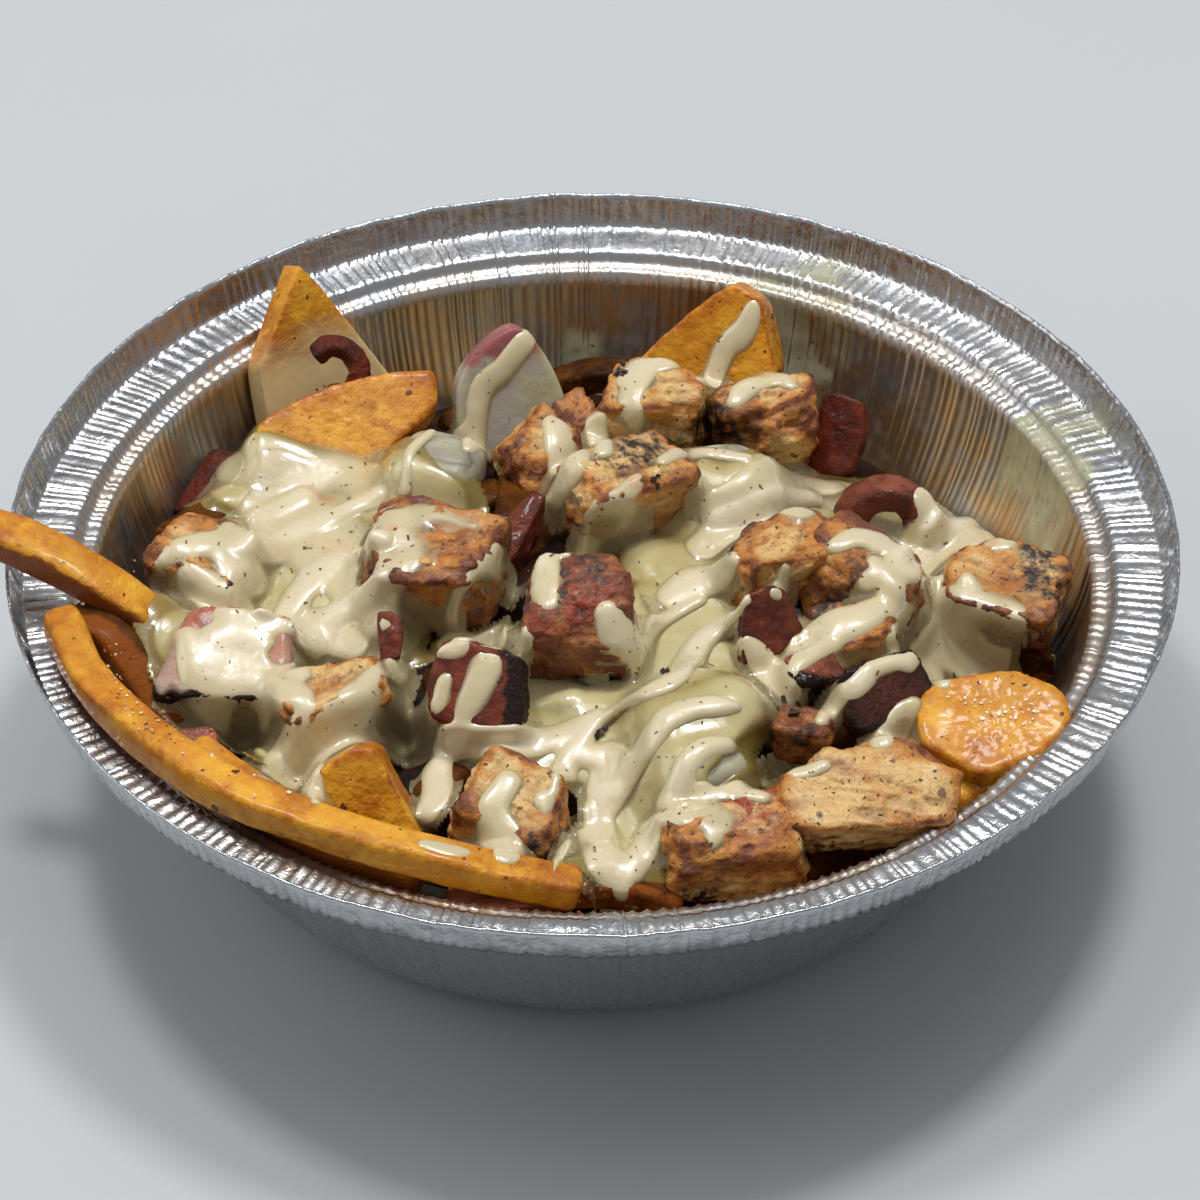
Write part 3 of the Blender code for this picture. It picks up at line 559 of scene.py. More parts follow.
bowl = {
    "foil": 0.42,
    "baseRadius": 55.9,
    "wallTopRadius": 78.2,
    "wallBottom": 0.25,
    "ledgeHeight": 39.9,
    "ledgeRadius": 80.0,
    "riserRadius": 81.3,
    "shelfHeight": 42.0,
    "shelfRadius": 88.6,
    "lipRadius": 90.4,
    "lipHeight": 48.0,
    "pleats": 306,
    "pleatSpread": 0.65,
    "seed": 3,
}


def wallRadius(z, inset=0.0):
    # inner wall: r = base + reach * sin(a)^(4/3), z = top - height * cos(a)^(4/3)
    reach = bowl["wallTopRadius"] - bowl["baseRadius"]
    height = bowl["ledgeHeight"] - bowl["wallBottom"]
    cosine = np.clip((bowl["ledgeHeight"] - z) / height, 0, 1) ** 0.75
    return bowl["baseRadius"] + reach * np.sqrt(1 - cosine ** 2) ** (4 / 3) - inset


def bowlLine():
    # rows of (radius, height, pleat depth, crimp depth, sharpness) along the middle of the foil
    reach = bowl["wallTopRadius"] - bowl["baseRadius"]
    height = bowl["ledgeHeight"] - bowl["wallBottom"]
    rows = [(r, bowl["wallBottom"], 0.0, 0.0, 0.0) for r in (6.0, 26.0, 44.0, 53.0)]
    for turn in np.linspace(0.06, 1.0, 13) * math.pi / 2:
        up = 1 - math.cos(turn) ** (4 / 3)
        radius = bowl["baseRadius"] + reach * math.sin(turn) ** (4 / 3)
        rows.append((radius, bowl["wallBottom"] + height * up, 0.2 + 0.26 * up, 0.1, 0.5))
    ledge, ledgeTop = bowl["ledgeRadius"], bowl["ledgeHeight"]
    riser, shelf, shelfTop = bowl["riserRadius"], bowl["shelfRadius"], bowl["shelfHeight"]
    inner = riser + 0.7
    rows += [
        (ledge - 0.9, ledgeTop + 0.15, 0.26, 0.12, 0.6),
        (ledge, ledgeTop, 0.26, 0.2, 0.6),
        (riser - 0.2, shelfTop - 1.2, 0.22, 0.2, 0.6),
        (riser, shelfTop - 0.3, 0.22, 0.2, 0.8),
        (inner, shelfTop, 0.3, 0.25, 1.0),
    ]
    rows += [(inner + (shelf - inner) * t, shelfTop, 0.34, 0.16, 1.0) for t in (0.25, 0.5, 0.75, 0.93)]
    for t in (0.0, 0.16, 0.34, 0.52, 0.7, 0.86, 1.0):
        crimp = 0.16 * math.sin(math.pi * min(1.0, t + 0.12)) + 0.12
        rows.append((shelf + (bowl["lipRadius"] - shelf) * t ** 0.8,
                     shelfTop + (bowl["lipHeight"] - shelfTop) * t,
                     0.08 + 0.3 * math.sqrt(1 - t), crimp, 0.7))
    return np.array(rows)


def pleatAngles(rng):
    # four columns a pleat, in pleats of uneven width
    widths = rng.uniform(1 - bowl["pleatSpread"], 1 + bowl["pleatSpread"], bowl["pleats"])
    edges = np.concatenate([[0], np.cumsum(widths)]) / widths.sum() * 2 * math.pi
    inside = np.arange(4) / 4
    return (edges[:-1, None] + (edges[1:] - edges[:-1])[:, None] * inside).ravel()


def makeBowl():
    # sheet(s, angle) = line(s) + normal(s) * (pleat * fold + crimp * noise), both faces half a foil away
    rng = np.random.default_rng(bowl["seed"])
    angles = pleatAngles(rng)
    line = bowlLine()
    way = unit(np.gradient(line[:, :2], axis=0))
    normal = np.stack([-way[:, 1], way[:, 0]], -1)
    size = np.repeat(rng.uniform(0.35, 1.25, bowl["pleats"]), 4)
    soft = np.tile([0.0, 0.62, 1.0, 0.5], bowl["pleats"]) - 0.5
    crease = np.tile([0.0, 0.1, 1.0, 0.12], bowl["pleats"]) - 0.3
    sharp = line[:, 4:5]
    fold = (soft * (1 - sharp) + crease * sharp) * size
    ring = np.stack([np.cos(angles), np.sin(angles)], -1)
    height = lengthAlong(line[:, :2])
    where = np.concatenate([
        np.broadcast_to(ring[None] * 60, (len(line), len(angles), 2)),
        np.broadcast_to(height[:, None, None], (len(line), len(angles), 1))], -1)
    bulge = noise(where * (1, 1, 0.9), 2.6, 11, 3) * line[:, 3:4] + noise(where, 14.0, 5, 2) * line[:, 3:4]
    shift = line[:, 2:3] * fold + bulge
    lipWave = 0.35 * noise(np.c_[ring * 60, 0 * angles], 3.0, 23, 2)
    faces = []
    for side in (0.5, -0.5):
        off = shift + side * bowl["foil"]
        radius = line[:, :1] + normal[:, :1] * off
        z = line[:, 1:2] + normal[:, 1:2] * off
        z = z + ease(z, bowl["shelfHeight"], bowl["lipHeight"]) * lipWave
        z = np.maximum(z, 0.0) if side < 0 else z
        faces.append(np.stack([radius * ring[:, 0], radius * ring[:, 1], z], -1))
    rings = np.concatenate([faces[0], faces[1][::-1]])
    points, groups = closedTube(rings)
    groups = [group[:, ::-1] for group in groups]
    up = np.concatenate([line[:, 1], line[::-1, 1]])
    inner = np.concatenate([np.ones(len(line)), np.zeros(len(line))])
    grease = inner * (1 - ease(up, 36.0, 44.0)) * 0.75
    grease = np.append(np.repeat(grease, len(angles)), [0.8, 0.0])
    crimp = 0.15 + 0.85 * ease(up, 36.0, 42.5)
    crimp = np.append(np.repeat(crimp, len(angles)), [0.15, 0.15])
    return points, groups, {"grease": grease, "crimp": crimp}


points, faces, values = makeBowl()
makePiece("foilBowl", points, faces, materials["foil"], ["foil_bowl"], values)
print("foil bowl:", len(points), "vertices")

# The heap: its core, the fries that show, and the flat potato pieces

heap = {
    "centre": (0.0, -5.0),
    "height": 40.0,
    "flat": 22.0,
    "reach": 72.0,
    "edgeHeight": 29.0,
    "edgeFront": 5.0,
    "edgeRight": 4.0,
    "bump": 1.1,
    "bumpSize": 8.5,
    "sink": 2.6,
    "dips": [(-28.3, -35.3), (30.8, -42.0), (23.0, -46.4), (-14.3, -12.6), (2.0, -25.8), (-19.4, -54.0),
             (-53.4, -37.6), (-2.7, -53.8), (69.3, -14.2), (-1.8, -63.5)],
    "dipDepth": 9.0,
    "dipSpread": 3.2,
    "friesInside": 96,
    "shadedFries": ("darkLeft", "bottomMiddle", "rightBack", "leftBack", "backMiddle"),
    "seed": 12,
}


def moundHeight(x, y):
    # smooth step down from the flat top to an edge that is lower in front and on the right, less the dips
    dx, dy = x - heap["centre"][0], y - heap["centre"][1]
    away = np.hypot(dx, dy)
    side = np.arctan2(dy, dx)
    edge = heap["edgeHeight"] - heap["edgeFront"] * np.sin(side) - heap["edgeRight"] * np.cos(side)
    drop = ease(away, heap["flat"], heap["reach"])
    spread = heap["dipSpread"] ** 2
    dips = sum(np.exp(-0.5 * ((x - a) ** 2 + (y - b) ** 2) / spread) for a, b in heap["dips"])
    return heap["height"] + (edge - heap["height"]) * drop - heap["dipDepth"] * np.minimum(dips, 1.0)


def makeCore():
    # polar dome over the mound, then down the bowl's wall and back to the middle of the base
    around = 220
    turn = np.linspace(0, 2 * math.pi, around, endpoint=False)
    out = np.linspace(0.5, heap["reach"], 76)[:, None]
    x = heap["centre"][0] + out * np.cos(turn)
    y = heap["centre"][1] + out * np.sin(turn)
    z = moundHeight(x, y) - heap["sink"]
    z = z + heap["bump"] * 1.4 * noise(np.stack([x, y, 0 * x], -1), heap["bumpSize"], 4, 3)
    keep = np.minimum(1, wallRadius(z, 0.8) / np.hypot(x, y))
    top = np.stack([x * keep, y * keep, z], -1)
    edge = top[-1]
    rings = [top]
    for share in (0.75, 0.5, 0.3, 0.14, 0.05):
        z = 1.2 + (edge[:, 2] - 1.2) * share
        keep = np.minimum(1, wallRadius(z, 1.0) / np.hypot(edge[:, 0], edge[:, 1]))
        rings.append(np.stack([edge[:, 0] * keep, edge[:, 1] * keep, z], -1)[None])
    for share in (0.42, 0.14):
        rings.append(np.stack([edge[:, 0] * share, edge[:, 1] * share, 0 * turn + 1.2], -1)[None])
    return closedTube(np.concatenate(rings))


fries = {
    "overRim": dict(route=[(-101.5, -5.4, 53.4), (-87.4, -10, 52.2), (-75, -15, 48), (-65, -18.6, 41.4),
                           (-57, -21, 34)], width=7, height=5, skin=(0.1, -0.8, -0.5)),
    "longFront": dict(route=[(-81, -20.6, 46.4), (-72.6, -38.6, 46.6), (-56.6, -56, 46.2),
                             (-38.6, -65.8, 45.2), (-20.3, -70.6, 42.6), (-1.6, -71.8, 38.4)],
                      width=5.6, height=5.4, skin=(0.1, 0.1, -1.0)),
    "underFront": dict(route=[(-60, -44.4, 39), (-43, -60.4, 41), (-24, -69, 38.2)], width=6.6, height=7,
                       skin=(0, -0.5, -0.2)),
    "darkLeft": dict(route=[(-80, -18, 43.4), (-73, -22, 42.8), (-62.6, -33.4, 34.6)], width=6.4, height=6,
                     skin=(0, -0.6, 0.3)),
    "bottomMiddle": dict(route=[(-10, -67, 34.6), (3, -67.6, 35.6), (13, -68.6, 32.6)], width=6.4, height=5,
                         skin=(0, -0.8, 0)),
    "bottomRight": dict(route=[(50, -49, 33), (61, -40, 33.6), (68, -28, 30.6)], width=8, height=6),
    "backMiddle": dict(route=[(-12, 62.8, 24.4), (2, 62.2, 30), (12, 58.4, 28)], width=6, height=5),
    "rightBack": dict(route=[(58.6, 22, 24.8), (66, 8, 27), (70, -12, 27.4)], width=6, height=5),
    "leftBack": dict(route=[(-69, 14, 31.6), (-61, 22, 31.4), (-50, 26.4, 30.6)], width=6, height=5),
}


def makeFry(route, width, height, seed, skin=(0, 0, -1), spacing=0.42, around=44):
    # a squarish section |x|^5 + |y|^5 = 1 carried along the route, its ends rounded, sides rippled
    length = np.linalg.norm(np.diff(np.asarray(route, float), axis=0), axis=1).sum()
    line = routePoints(route, max(14, int(length / spacing)))
    way = unit(np.gradient(line, axis=0))
    across = unit(np.cross(way, (0.0, 0.0, 1.0)))
    rise = np.cross(across, way)
    t = np.linspace(0, 1, len(line))
    end = np.clip(np.minimum(t, 1 - t) * length / (width * 0.5), 0, 1)
    taper = (1 - (1 - end) ** 3.4) ** (1 / 3.4) * 0.97 + 0.03
    wave = 1 + 0.07 * noise(np.c_[t * length, 0 * t, 0 * t], 9.0, seed, 2)
    turn = np.linspace(0, 2 * math.pi, around, endpoint=False)
    u = np.sign(np.cos(turn)) * np.abs(np.cos(turn)) ** 0.42
    v = np.sign(np.sin(turn)) * np.abs(np.sin(turn)) ** 0.42
    lean = 0.12 * noise(np.c_[t * length, 0 * t, 0 * t], 16.0, seed + 3, 1)
    uu = (u[None] + lean[:, None] * v[None]) * (taper * wave)[:, None] * width / 2
    vv = v[None] * (taper / wave)[:, None] * height / 2
    flat = across[:, None] * uu[..., None] + rise[:, None] * vv[..., None]
    out = flat / np.maximum(np.linalg.norm(flat, axis=-1, keepdims=True), 1e-6)
    where = np.stack([np.broadcast_to((t * length)[:, None] / 3, uu.shape), uu, vv], -1)
    dent = 0.2 * noise(where, 1.5, seed + 5, 3) + 0.25 * noise(where, 5.0, seed + 9, 2)
    rings = line[:, None] + flat + out * dent[..., None] * taper[:, None, None]
    points, faces = closedTube(rings)
    corner = np.clip((np.abs(u) * np.abs(v) - 0.55) / 0.3, 0, 1)
    crisp = 0.25 + 0.5 * corner[None] + 0.7 * (1 - end[:, None]) + 0.5 * noise(where, 4.0, seed + 2, 2)
    facing = out @ (np.asarray(skin, float) / np.linalg.norm(skin))
    bark = ease(facing + 0.22 * noise(rings, 2.4, seed + 7, 3), 0.3, 0.7)
    crisp = np.append(np.clip(crisp, 0, 1), [1, 1])
    return points, faces, {"crisp": crisp, "skin": np.append(bark, [0.2, 0.2])}


def friesInHeap():
    # seeded fries lying on the mound, most of them under the sauce
    rng = np.random.default_rng(heap["seed"])
    made = []
    for index in range(heap["friesInside"]):
        away = heap["reach"] * 0.92 * math.sqrt(rng.uniform(0.02, 1))
        side = rng.uniform(0, 2 * math.pi)
        middle = np.array(heap["centre"]) + away * np.array([math.cos(side), math.sin(side)])
        half = rng.uniform(9, 17)
        way = side + math.pi / 2 + rng.normal(0, 0.6)
        step = half * np.array([math.cos(way), math.sin(way)])
        ends = [middle - step, middle + rng.normal(0, 1.2, 2), middle + step]
        away = np.array(heap["dips"]) - ends[0]
        along = np.clip(away @ step / (2 * step @ step), 0, 1)
        if np.linalg.norm(away - 2 * along[:, None] * step, axis=1).min() < 4.6:
            continue
        route = []
        for x, y in ends:
            room = min(1.0, 66.0 / max(math.hypot(x, y), 1e-6))
            x, y = x * room, y * room
            route.append((x, y, float(moundHeight(x, y)) - rng.uniform(3.2, 5.4)))
        if math.dist(route[0], route[2]) > 10:
            width, height = rng.uniform(6, 8), rng.uniform(5.4, 7)
            made.append(makeFry(route, width, height, 60 + index, spacing=1.1, around=24))
    return made


slabs = {
    "shortWedge": dict(origin=(-33.4, -51.4, 38.0), u=(1, -0.1, 0), v=(0.1, 0.55, 0.8), thickness=8,
                       outline=[(-8.4, -5.6), (-7.6, 3.2), (-1.4, 7.6), (1.6, 7.4), (9.4, -5.4), (0, -7.4)]),
    "wedgeLeft": dict(origin=(-46.6, 57.2, 37), u=(0.766, 0.643, 0), v=(-0.29, 0.345, 0.89), thickness=5,
                      sharp=34, pale=4.0,
                      outline=[(-11.6, 3.4), (1.6, 16.8), (3.6, 13.4), (11.6, -8), (0, -11.6), (-13.6, -9)]),
    "halfMoon": dict(origin=(-42, 38, 36.6), u=(1, 0.2, 0), v=(-0.15, 0.85, 0.5), thickness=7,
                     outline=[(-15.6, -6), (-13, 1.6), (-5.4, 5.6), (8.3, 8.2), (17.6, 7.6), (17, 1),
                              (8, -6),
                              (-2, -12.4), (-11.6, -12.4)]),
    "wedgeBack": dict(origin=(23.6, 57, 37), u=(0.94, -0.34, 0), v=(0.17, 0.47, 0.86), thickness=6.4,
                      outline=[(-20, -9), (-15.6, -2.6), (-8.6, 6.6), (-1.6, 13.4), (4, 11), (8.6, 0),
                               (5, -8.6), (-6, -13)]),
    "chunkRight": dict(origin=(59.8, -37.2, 37.0), u=(1, 0.06, 0.05), v=(0, 0.97, 0.24),
                       thickness=11, dents=0.7,
                       outline=[(-11, 4.4), (-7, 7.6), (4.6, 8.2), (11.4, 3.4), (11.6, -2.6), (7, -7.6),
                                (-3.4, -10.6), (-11.4, -3.6)]),
}


def makeSlab(origin, u, v, outline, thickness, seed, sharp=18, pale=-99.0, dents=0.4):
    # a block cut by the outline's edges and by two flat faces, rippled like fried potato, creamy below pale
    u = unit(np.array(u, float))
    v = np.array(v, float)
    v = unit(v - u * (v @ u))
    w = np.cross(u, v)
    corner = np.array(outline, float)
    edge = np.roll(corner, -1, axis=0) - corner
    side = unit(np.stack([edge[:, 1], -edge[:, 0]], -1))
    reach = (side * corner).sum(1)
    side[reach < 0] *= -1
    reach = np.abs(reach)
    normals = np.vstack([np.c_[side, np.zeros(len(side))], [[0, 0, 1], [0, 0, -1]]])
    points, faces, rounded = cutBlock(normals, np.append(reach, [thickness / 2] * 2), 60, sharp)
    out = unit(points)
    dent = dents * noise(points, 7.0, seed, 2) + 0.22 * noise(points, 1.6, seed + 1, 3) * (pale < -9)
    points = points + out * dent[:, None]
    crisp = np.clip(0.2 + 0.8 * rounded + 0.5 * noise(points, 5.0, seed + 4, 2), 0, 1)
    cream = ease(pale - points[:, 1] + 5.0 * noise(points, 6.0, seed + 6, 3), -4.0, 5.0)
    values = {"crisp": crisp, "skin": 0 * crisp, "pale": cream}
    return points @ np.stack([u, v, w]) + np.array(origin), faces, values


def bowlInside():
    # a dense grid over the back and the sides of the wall, for the sauce to reach up to
    z, turn = np.meshgrid(np.arange(1.0, 39.5, 0.4), np.linspace(-0.3, math.pi + 0.3, 640), indexing="ij")
    r = wallRadius(z, 0.2)
    return np.stack([r * np.cos(turn), r * np.sin(turn), z], -1).reshape(-1, 3)


surfaces = {"bowlInside": (bowlInside(), [], {})}


def keepSurface(name, part):
    # what lies on the heap is remembered, for the sauce to run over
    surfaces[name] = part
    return part


core, coreFaces = makeCore()
makePiece("heapCore", core, coreFaces, materials["core"], ["fries_heap"])
keepSurface("heapCore", (core, coreFaces, {}))
buried = blended(friesInHeap())
# the fries inside the heap take the darker copy, painted shade under the sauce
makePiece("friesInHeap", buried[0], buried[1], materials["shadedFry"], ["fries_heap"], buried[2])
keepSurface("friesInHeap", buried)
for seed, (name, fry) in enumerate(fries.items()):
    part = keepSurface(name, makeFry(seed=seed * 13 + 2, **fry))
    # these named fries lie in hollows and take the darker copy, painted shade
    finish = "shadedFry" if name in heap["shadedFries"] else "fry"
    makePiece(name, part[0], part[1], materials[finish], ["fries_heap"], part[2])
for seed, (name, slab) in enumerate(slabs.items()):
    part = keepSurface(name, makeSlab(seed=seed * 17 + 5, **slab))
    makePiece(name, part[0], part[1], materials["fry"], ["fries_heap"], part[2])
print("heap:", sum(len(part[0]) for part in surfaces.values()), "vertices")

# Diced grilled chicken: place, size, turn, lean, how browned, where it is burnt and spiced

chicken = [
    dict(at=(10.9, 44.4, 36.3), size=(18, 13, 12), turn=-12, lean=5, sear=0.15, char=(0.9, -0.5, -0.6)),
    dict(at=(28.2, 44.0, 33.2), size=(17, 13, 13), turn=20, lean=-5, sear=0.25, char=(-0.9, -0.4, 0.3)),
    dict(at=(3.3, 12.6, 43.6), size=(19, 14, 14), turn=38, lean=8, sear=0.3, char=(0.3, 0.2, 1)),
    dict(at=(-8.6, 26.8, 39.0), size=(13.5, 12, 12), turn=55, lean=10, sear=0.3, char=(-0.8, -0.3, -0.4)),
    dict(at=(-24.9, -6.6, 44.2), size=(23, 16, 14), turn=-14, lean=6, sear=0.5, char=(-0.8, 0.2, -0.6)),
    dict(at=(-1.4, -21.6, 46.0), size=(17, 15, 13), turn=-8, lean=12, sear=1.1, char=(-0.4, 0.3, 0.9),
         spice=(-0.3, -0.2, 1)),
    dict(at=(29.2, -4.8, 44.4), size=(18, 11.5, 10), turn=32, lean=6, sear=0.4, char=(-0.8, 0.3, 0.2)),
    dict(at=(43.0, -8.2, 41.4), size=(17, 13, 12), turn=-38, lean=4, sear=0.65, char=(-0.3, -0.9, -0.2)),
    dict(at=(64.2, -2.6, 34.4), size=(17.5, 15, 13), turn=-20, lean=8, sear=0.45, char=(0.5, -0.1, 0.7)),
    dict(at=(39.6, -53.8, 38.6), size=(28, 13, 11.5), turn=8, lean=10, sear=0.12, char=(-0.9, -0.5, -0.6)),
    dict(at=(19.0, -61.4, 37.4), size=(21, 14, 12), turn=10, lean=12, sear=0.2, char=(-0.7, -0.6, -0.6),
         spice=(0.2, 0.3, 1)),
    dict(at=(-11.4, -56, 38.4), size=(15.5, 14, 11.5), turn=-25, lean=8, sear=0.25, char=(0.8, -0.6, -0.3)),
    dict(at=(-39.6, -34.6, 39.8), size=(18, 12, 10.5), turn=20, lean=8, sear=0.25, char=(0.2, -0.9, -0.3)),
    dict(at=(-61.0, -0.6, 38.2), size=(16, 13, 12), turn=-30, lean=-6, sear=0.35, char=(0.5, -0.7, 0.1)),
    dict(at=(39.6, -19.6, 41.2), size=(12, 9, 8), turn=15, lean=10, sear=0.55, char=(-0.4, 0.3, 0.9)),
    dict(at=(-3.6, 43.0, 33.6), size=(8, 7, 8), turn=30, lean=0, sear=0.5, char=(0, -0.8, -0.4)),
    dict(at=(31.6, -39.6, 39.0), size=(8, 6.5, 7), turn=-20, lean=0, sear=1.1, char=(0, -0.5, 0.4)),
]


def makeChicken(seed, at, size, turn, lean, sear, char, spice=(0, 0, 0)):
    # a box with tilted sides and a few extra cuts, then meat fibres: noise drawn out along the grain
    rng = np.random.default_rng(300 + seed)
    half = np.array(size, float) / 2
    normals = boxSides + rng.normal(0, 0.13, (6, 3))
    cuts = rng.normal(0, 1, (6, 3))
    cuts[:, 2] *= 0.7
    normals = unit(np.vstack([normals, cuts]))
    reaches = np.append(np.tile(half, 2) * rng.uniform(0.98, 1.1, 6),
                        (np.abs(normals[6:]) @ half) * rng.uniform(0.74, 0.92, 6))
    count = int(np.clip(max(size) * 2.6, 30, 56))
    points, faces, rounded = cutBlock(normals, reaches, count, 8)
    out = unit(points)
    grain = unit(np.array([1.0, rng.uniform(-0.5, 0.5), rng.uniform(-0.3, 0.3)]))
    along = points @ grain
    fibres = points - along[:, None] * grain * 0.82
    strands = noise(fibres, 1.7, seed + 40, 3)
    relief = 1.5 * noise(points, 5.5, seed, 3) + 0.8 * strands + 0.2 * noise(points, 0.9, seed + 80, 2)
    pits = np.maximum(0, noise(points, 2.6, seed + 120, 2) - 0.25)
    points = points + out * (relief - 1.6 * pits)[:, None]
    crust = np.clip(sear + 0.75 * rounded + 0.6 * noise(points, 6.0, seed + 160, 3)
                    + 0.25 * noise(fibres, 2.2, seed + 161, 2), 0, 1)
    placed = turned(points, turn, lean)
    facing = turned(out, turn, lean)
    burn = facing @ unit(np.array(char)) + 0.35 * noise(points, 3.0, seed + 200, 2)
    burnt = noise(points, 3.2, seed + 260, 3)
    hot = facing @ np.array(spice, float) + 0.3 * noise(points, 3.4, seed + 240, 2)
    values = {
        "sear": crust,
        "char": np.clip(ease(burn, 0.5, 1.1) + 0.5 * ease(burnt, 0.2, 0.6), 0, 1),
        # high in the sunken grooves between strands, where painted shade goes
        "grooveShade": np.clip(0.5 - 0.9 * strands, 0, 1),
        "spice": np.clip(ease(hot, 0.5, 1.0), 0, 1),
    }
    return placed + np.array(at), faces, values


for index, block in enumerate(chicken):
    part = keepSurface(f"chicken{index + 1:02d}", makeChicken(index, **block))
    makePiece(f"chickenPiece{index + 1:02d}", part[0], part[1], materials["chicken"],
              [f"chicken_{index + 1:02d}"], part[2])
print("chicken:", len(chicken), "pieces")

# Bacon and ham: plates that bend, with a dark crust on one side

bacon = [
    dict(at=(-17.1, -35.4, 44.6), size=(14, 13.5, 4.5), turn=-8, lean=48, bend=0.5, pink=0.12,
         crust=(1, 0, 0)),
    dict(at=(26.4, -21.4, 45.4), size=(9.4, 10.4, 2.4), turn=28, lean=50, bend=0.4, pink=0.1,
         grain=0.36),
    dict(at=(32.6, -29.6, 43.4), size=(8.6, 6, 3), turn=20, lean=22, bend=0.5, pink=0.25, crust=(-1, -1, 0)),
    dict(at=(43.8, -33.8, 42.6), size=(13.5, 11, 4), turn=22, lean=28, bend=0.9, pink=0.05, crust=(0, 1, 0),
         grain=0.6),
    dict(route=[(-46, 49.0, 43.6), (-43.2, 50, 45), (-40.2, 49.8, 44), (-38.4, 48.2, 41), (-40, 46.8, 38.2),
                (-44, 47, 37)], width=3.4, height=3.0, pink=0.05, crust=0.3),
    dict(at=(-55.2, -26.2, 42.8), size=(19, 15, 4), turn=-8, lean=18, bend=0.5, pink=0.75,
         crust=(0, -1, -0.4), pale=0.35),
    dict(at=(-58.6, -40.6, 38.4), size=(5.5, 5.5, 3), turn=15, lean=30, bend=0.4, pink=0.6),
    dict(at=(41.8, 47.0, 29.2), size=(8, 14, 3), turn=-15, lean=48, bend=0.7, pink=0.05),
    dict(route=[(41, 21.0, 30), (43.4, 22.2, 34.2), (47.0, 22.6, 35.6), (50.6, 22.2, 35), (53, 20.6, 32.6),
                (52.4, 19.0, 30)], width=5.6, height=4.6, pink=0.45, crust=0.36),
    dict(origin=(-14.2, 46.4, 38.4), u=(0.98, 0.2, 0), v=(-0.1, 0.47, 0.88),
         thickness=6.4, sharp=9, pale=6.0,
         outline=[(-9, 3), (-5, 8), (2.6, 11.8), (6, 8), (9.4, 0), (10.6, -9), (2, -12), (-9.6, -11)]),
    dict(at=(-14.8, -71.2, 35.9), size=(17, 5, 3), turn=4, lean=20, bend=0.6, pink=0.5),
    dict(at=(-61.8, 31.6, 30.0), size=(9, 12, 3), turn=-28, lean=34, bend=0.8, pink=0.05,
         grain=0.4),
    dict(at=(-11.6, 4.8, 42.4), size=(5, 13, 3), turn=-30, lean=22, bend=0.8, pink=0.1,
         grain=0.3),
    dict(at=(-30.8, -20.6, 41.4), size=(3.4, 8.5, 2.4), turn=8, lean=30, bend=0.4, pink=0.1),
]


def makeBacon(seed, at, size, turn, lean, bend, pink, crust=(0, 0, 0), pale=0.0, taper=0.12, grain=0.0, wobble=0.6):
    # a thin block, its middle raised by bend * (1 - x^2), its edges torn and its crust rough
    rng = np.random.default_rng(700 + seed)
    half = np.array(size, float) / 2
    normals = boxSides + rng.normal(0, 0.12, (6, 3))
    slant = rng.normal(0, 1, (5, 3)) * (1, 1, 0.2)
    normals = unit(np.vstack([normals, slant]))
    reaches = np.append(np.tile(half, 2) * 1.05, (np.abs(normals[6:]) @ half) * rng.uniform(0.74, 0.92, 5))
    points, faces, rounded = cutBlock(normals, reaches, 44, 12)
    out = unit(points)
    side = np.array(crust, float) / np.maximum(np.linalg.norm(crust), 1e-6)
    rough = ease((points / half) @ side + 0.3 * noise(points, 3.0, seed + 31, 2), 0.35, 0.8)
    rough = rough * bool(any(crust))
    layers = noise(points * (0.15, 0.15, 1.6), 1.2, seed + 50, 2)
    relief = wobble * noise(points, 4.0, seed, 3) + (0.18 + 0.35 * rough) * noise(points, 1.0, seed + 9, 3)
    points = points + out * (relief + 0.16 * layers)[:, None]
    points[:, 0] *= 1 - taper * points[:, 1] / half[1]
    points[:, 2] += bend * (1 - (points[:, 0] / half[0]) ** 2) - bend / 2
    pinker = np.clip(pink + 0.35 * noise(points, 4.5, seed + 60, 3) + 0.1 * layers, 0, 1)
    paler = pale * (1.1 - 0.9 * (points[:, 1] / half[1])) + 0.3 * noise(points, 5.0, seed + 70, 2)
    values = {
        "pink": pinker,
        "crust": np.clip(rough + 0.2 * rounded + grain, 0, 1),
        "pale": np.clip(paler, 0, 1) * bool(pale),
    }
    return turned(points, turn, lean) + np.array(at), faces, values


def makeStrip(seed, route, width, height, pink, crust):
    # a curled strip of bacon: the fry's section along a route, with the bacon's values
    points, faces, values = makeFry(route, width, height, 90 + seed, spacing=0.3, around=32)
    turns = [points, points[:, [1, 2, 0]], points[:, [2, 0, 1]]]
    points = points + 0.3 * noise(np.stack(turns, 1), 1.6, seed, 2)
    pinker = np.clip(pink + 0.4 * noise(points, 3.0, seed + 60, 3), 0, 1)
    crusty = np.clip(crust + 0.3 * values["crisp"], 0, 1)
    return points, faces, {"pink": pinker, "crust": crusty, "pale": 0 * pinker}


def makeFlap(seed, **slab):
    # a slab of ham, pink above and at its edges, pale below
    points, faces, values = makeSlab(seed=seed, **slab)
    return points, faces, {"skin": np.clip(1 - values["pale"] + 0.2 * noise(points, 4.0, seed, 2), 0, 1)}


for index, slice_ in enumerate(bacon):
    flap = "outline" in slice_
    make = makeStrip if "route" in slice_ else makeFlap if flap else makeBacon
    part = keepSurface(f"bacon{index + 1:02d}", make(seed=index, **slice_))
    makePiece(f"baconPiece{index + 1:02d}", part[0], part[1], materials["ham" if flap else "bacon"],
              [f"bacon_{index + 1:02d}"], part[2])
print("bacon:", len(bacon), "pieces")
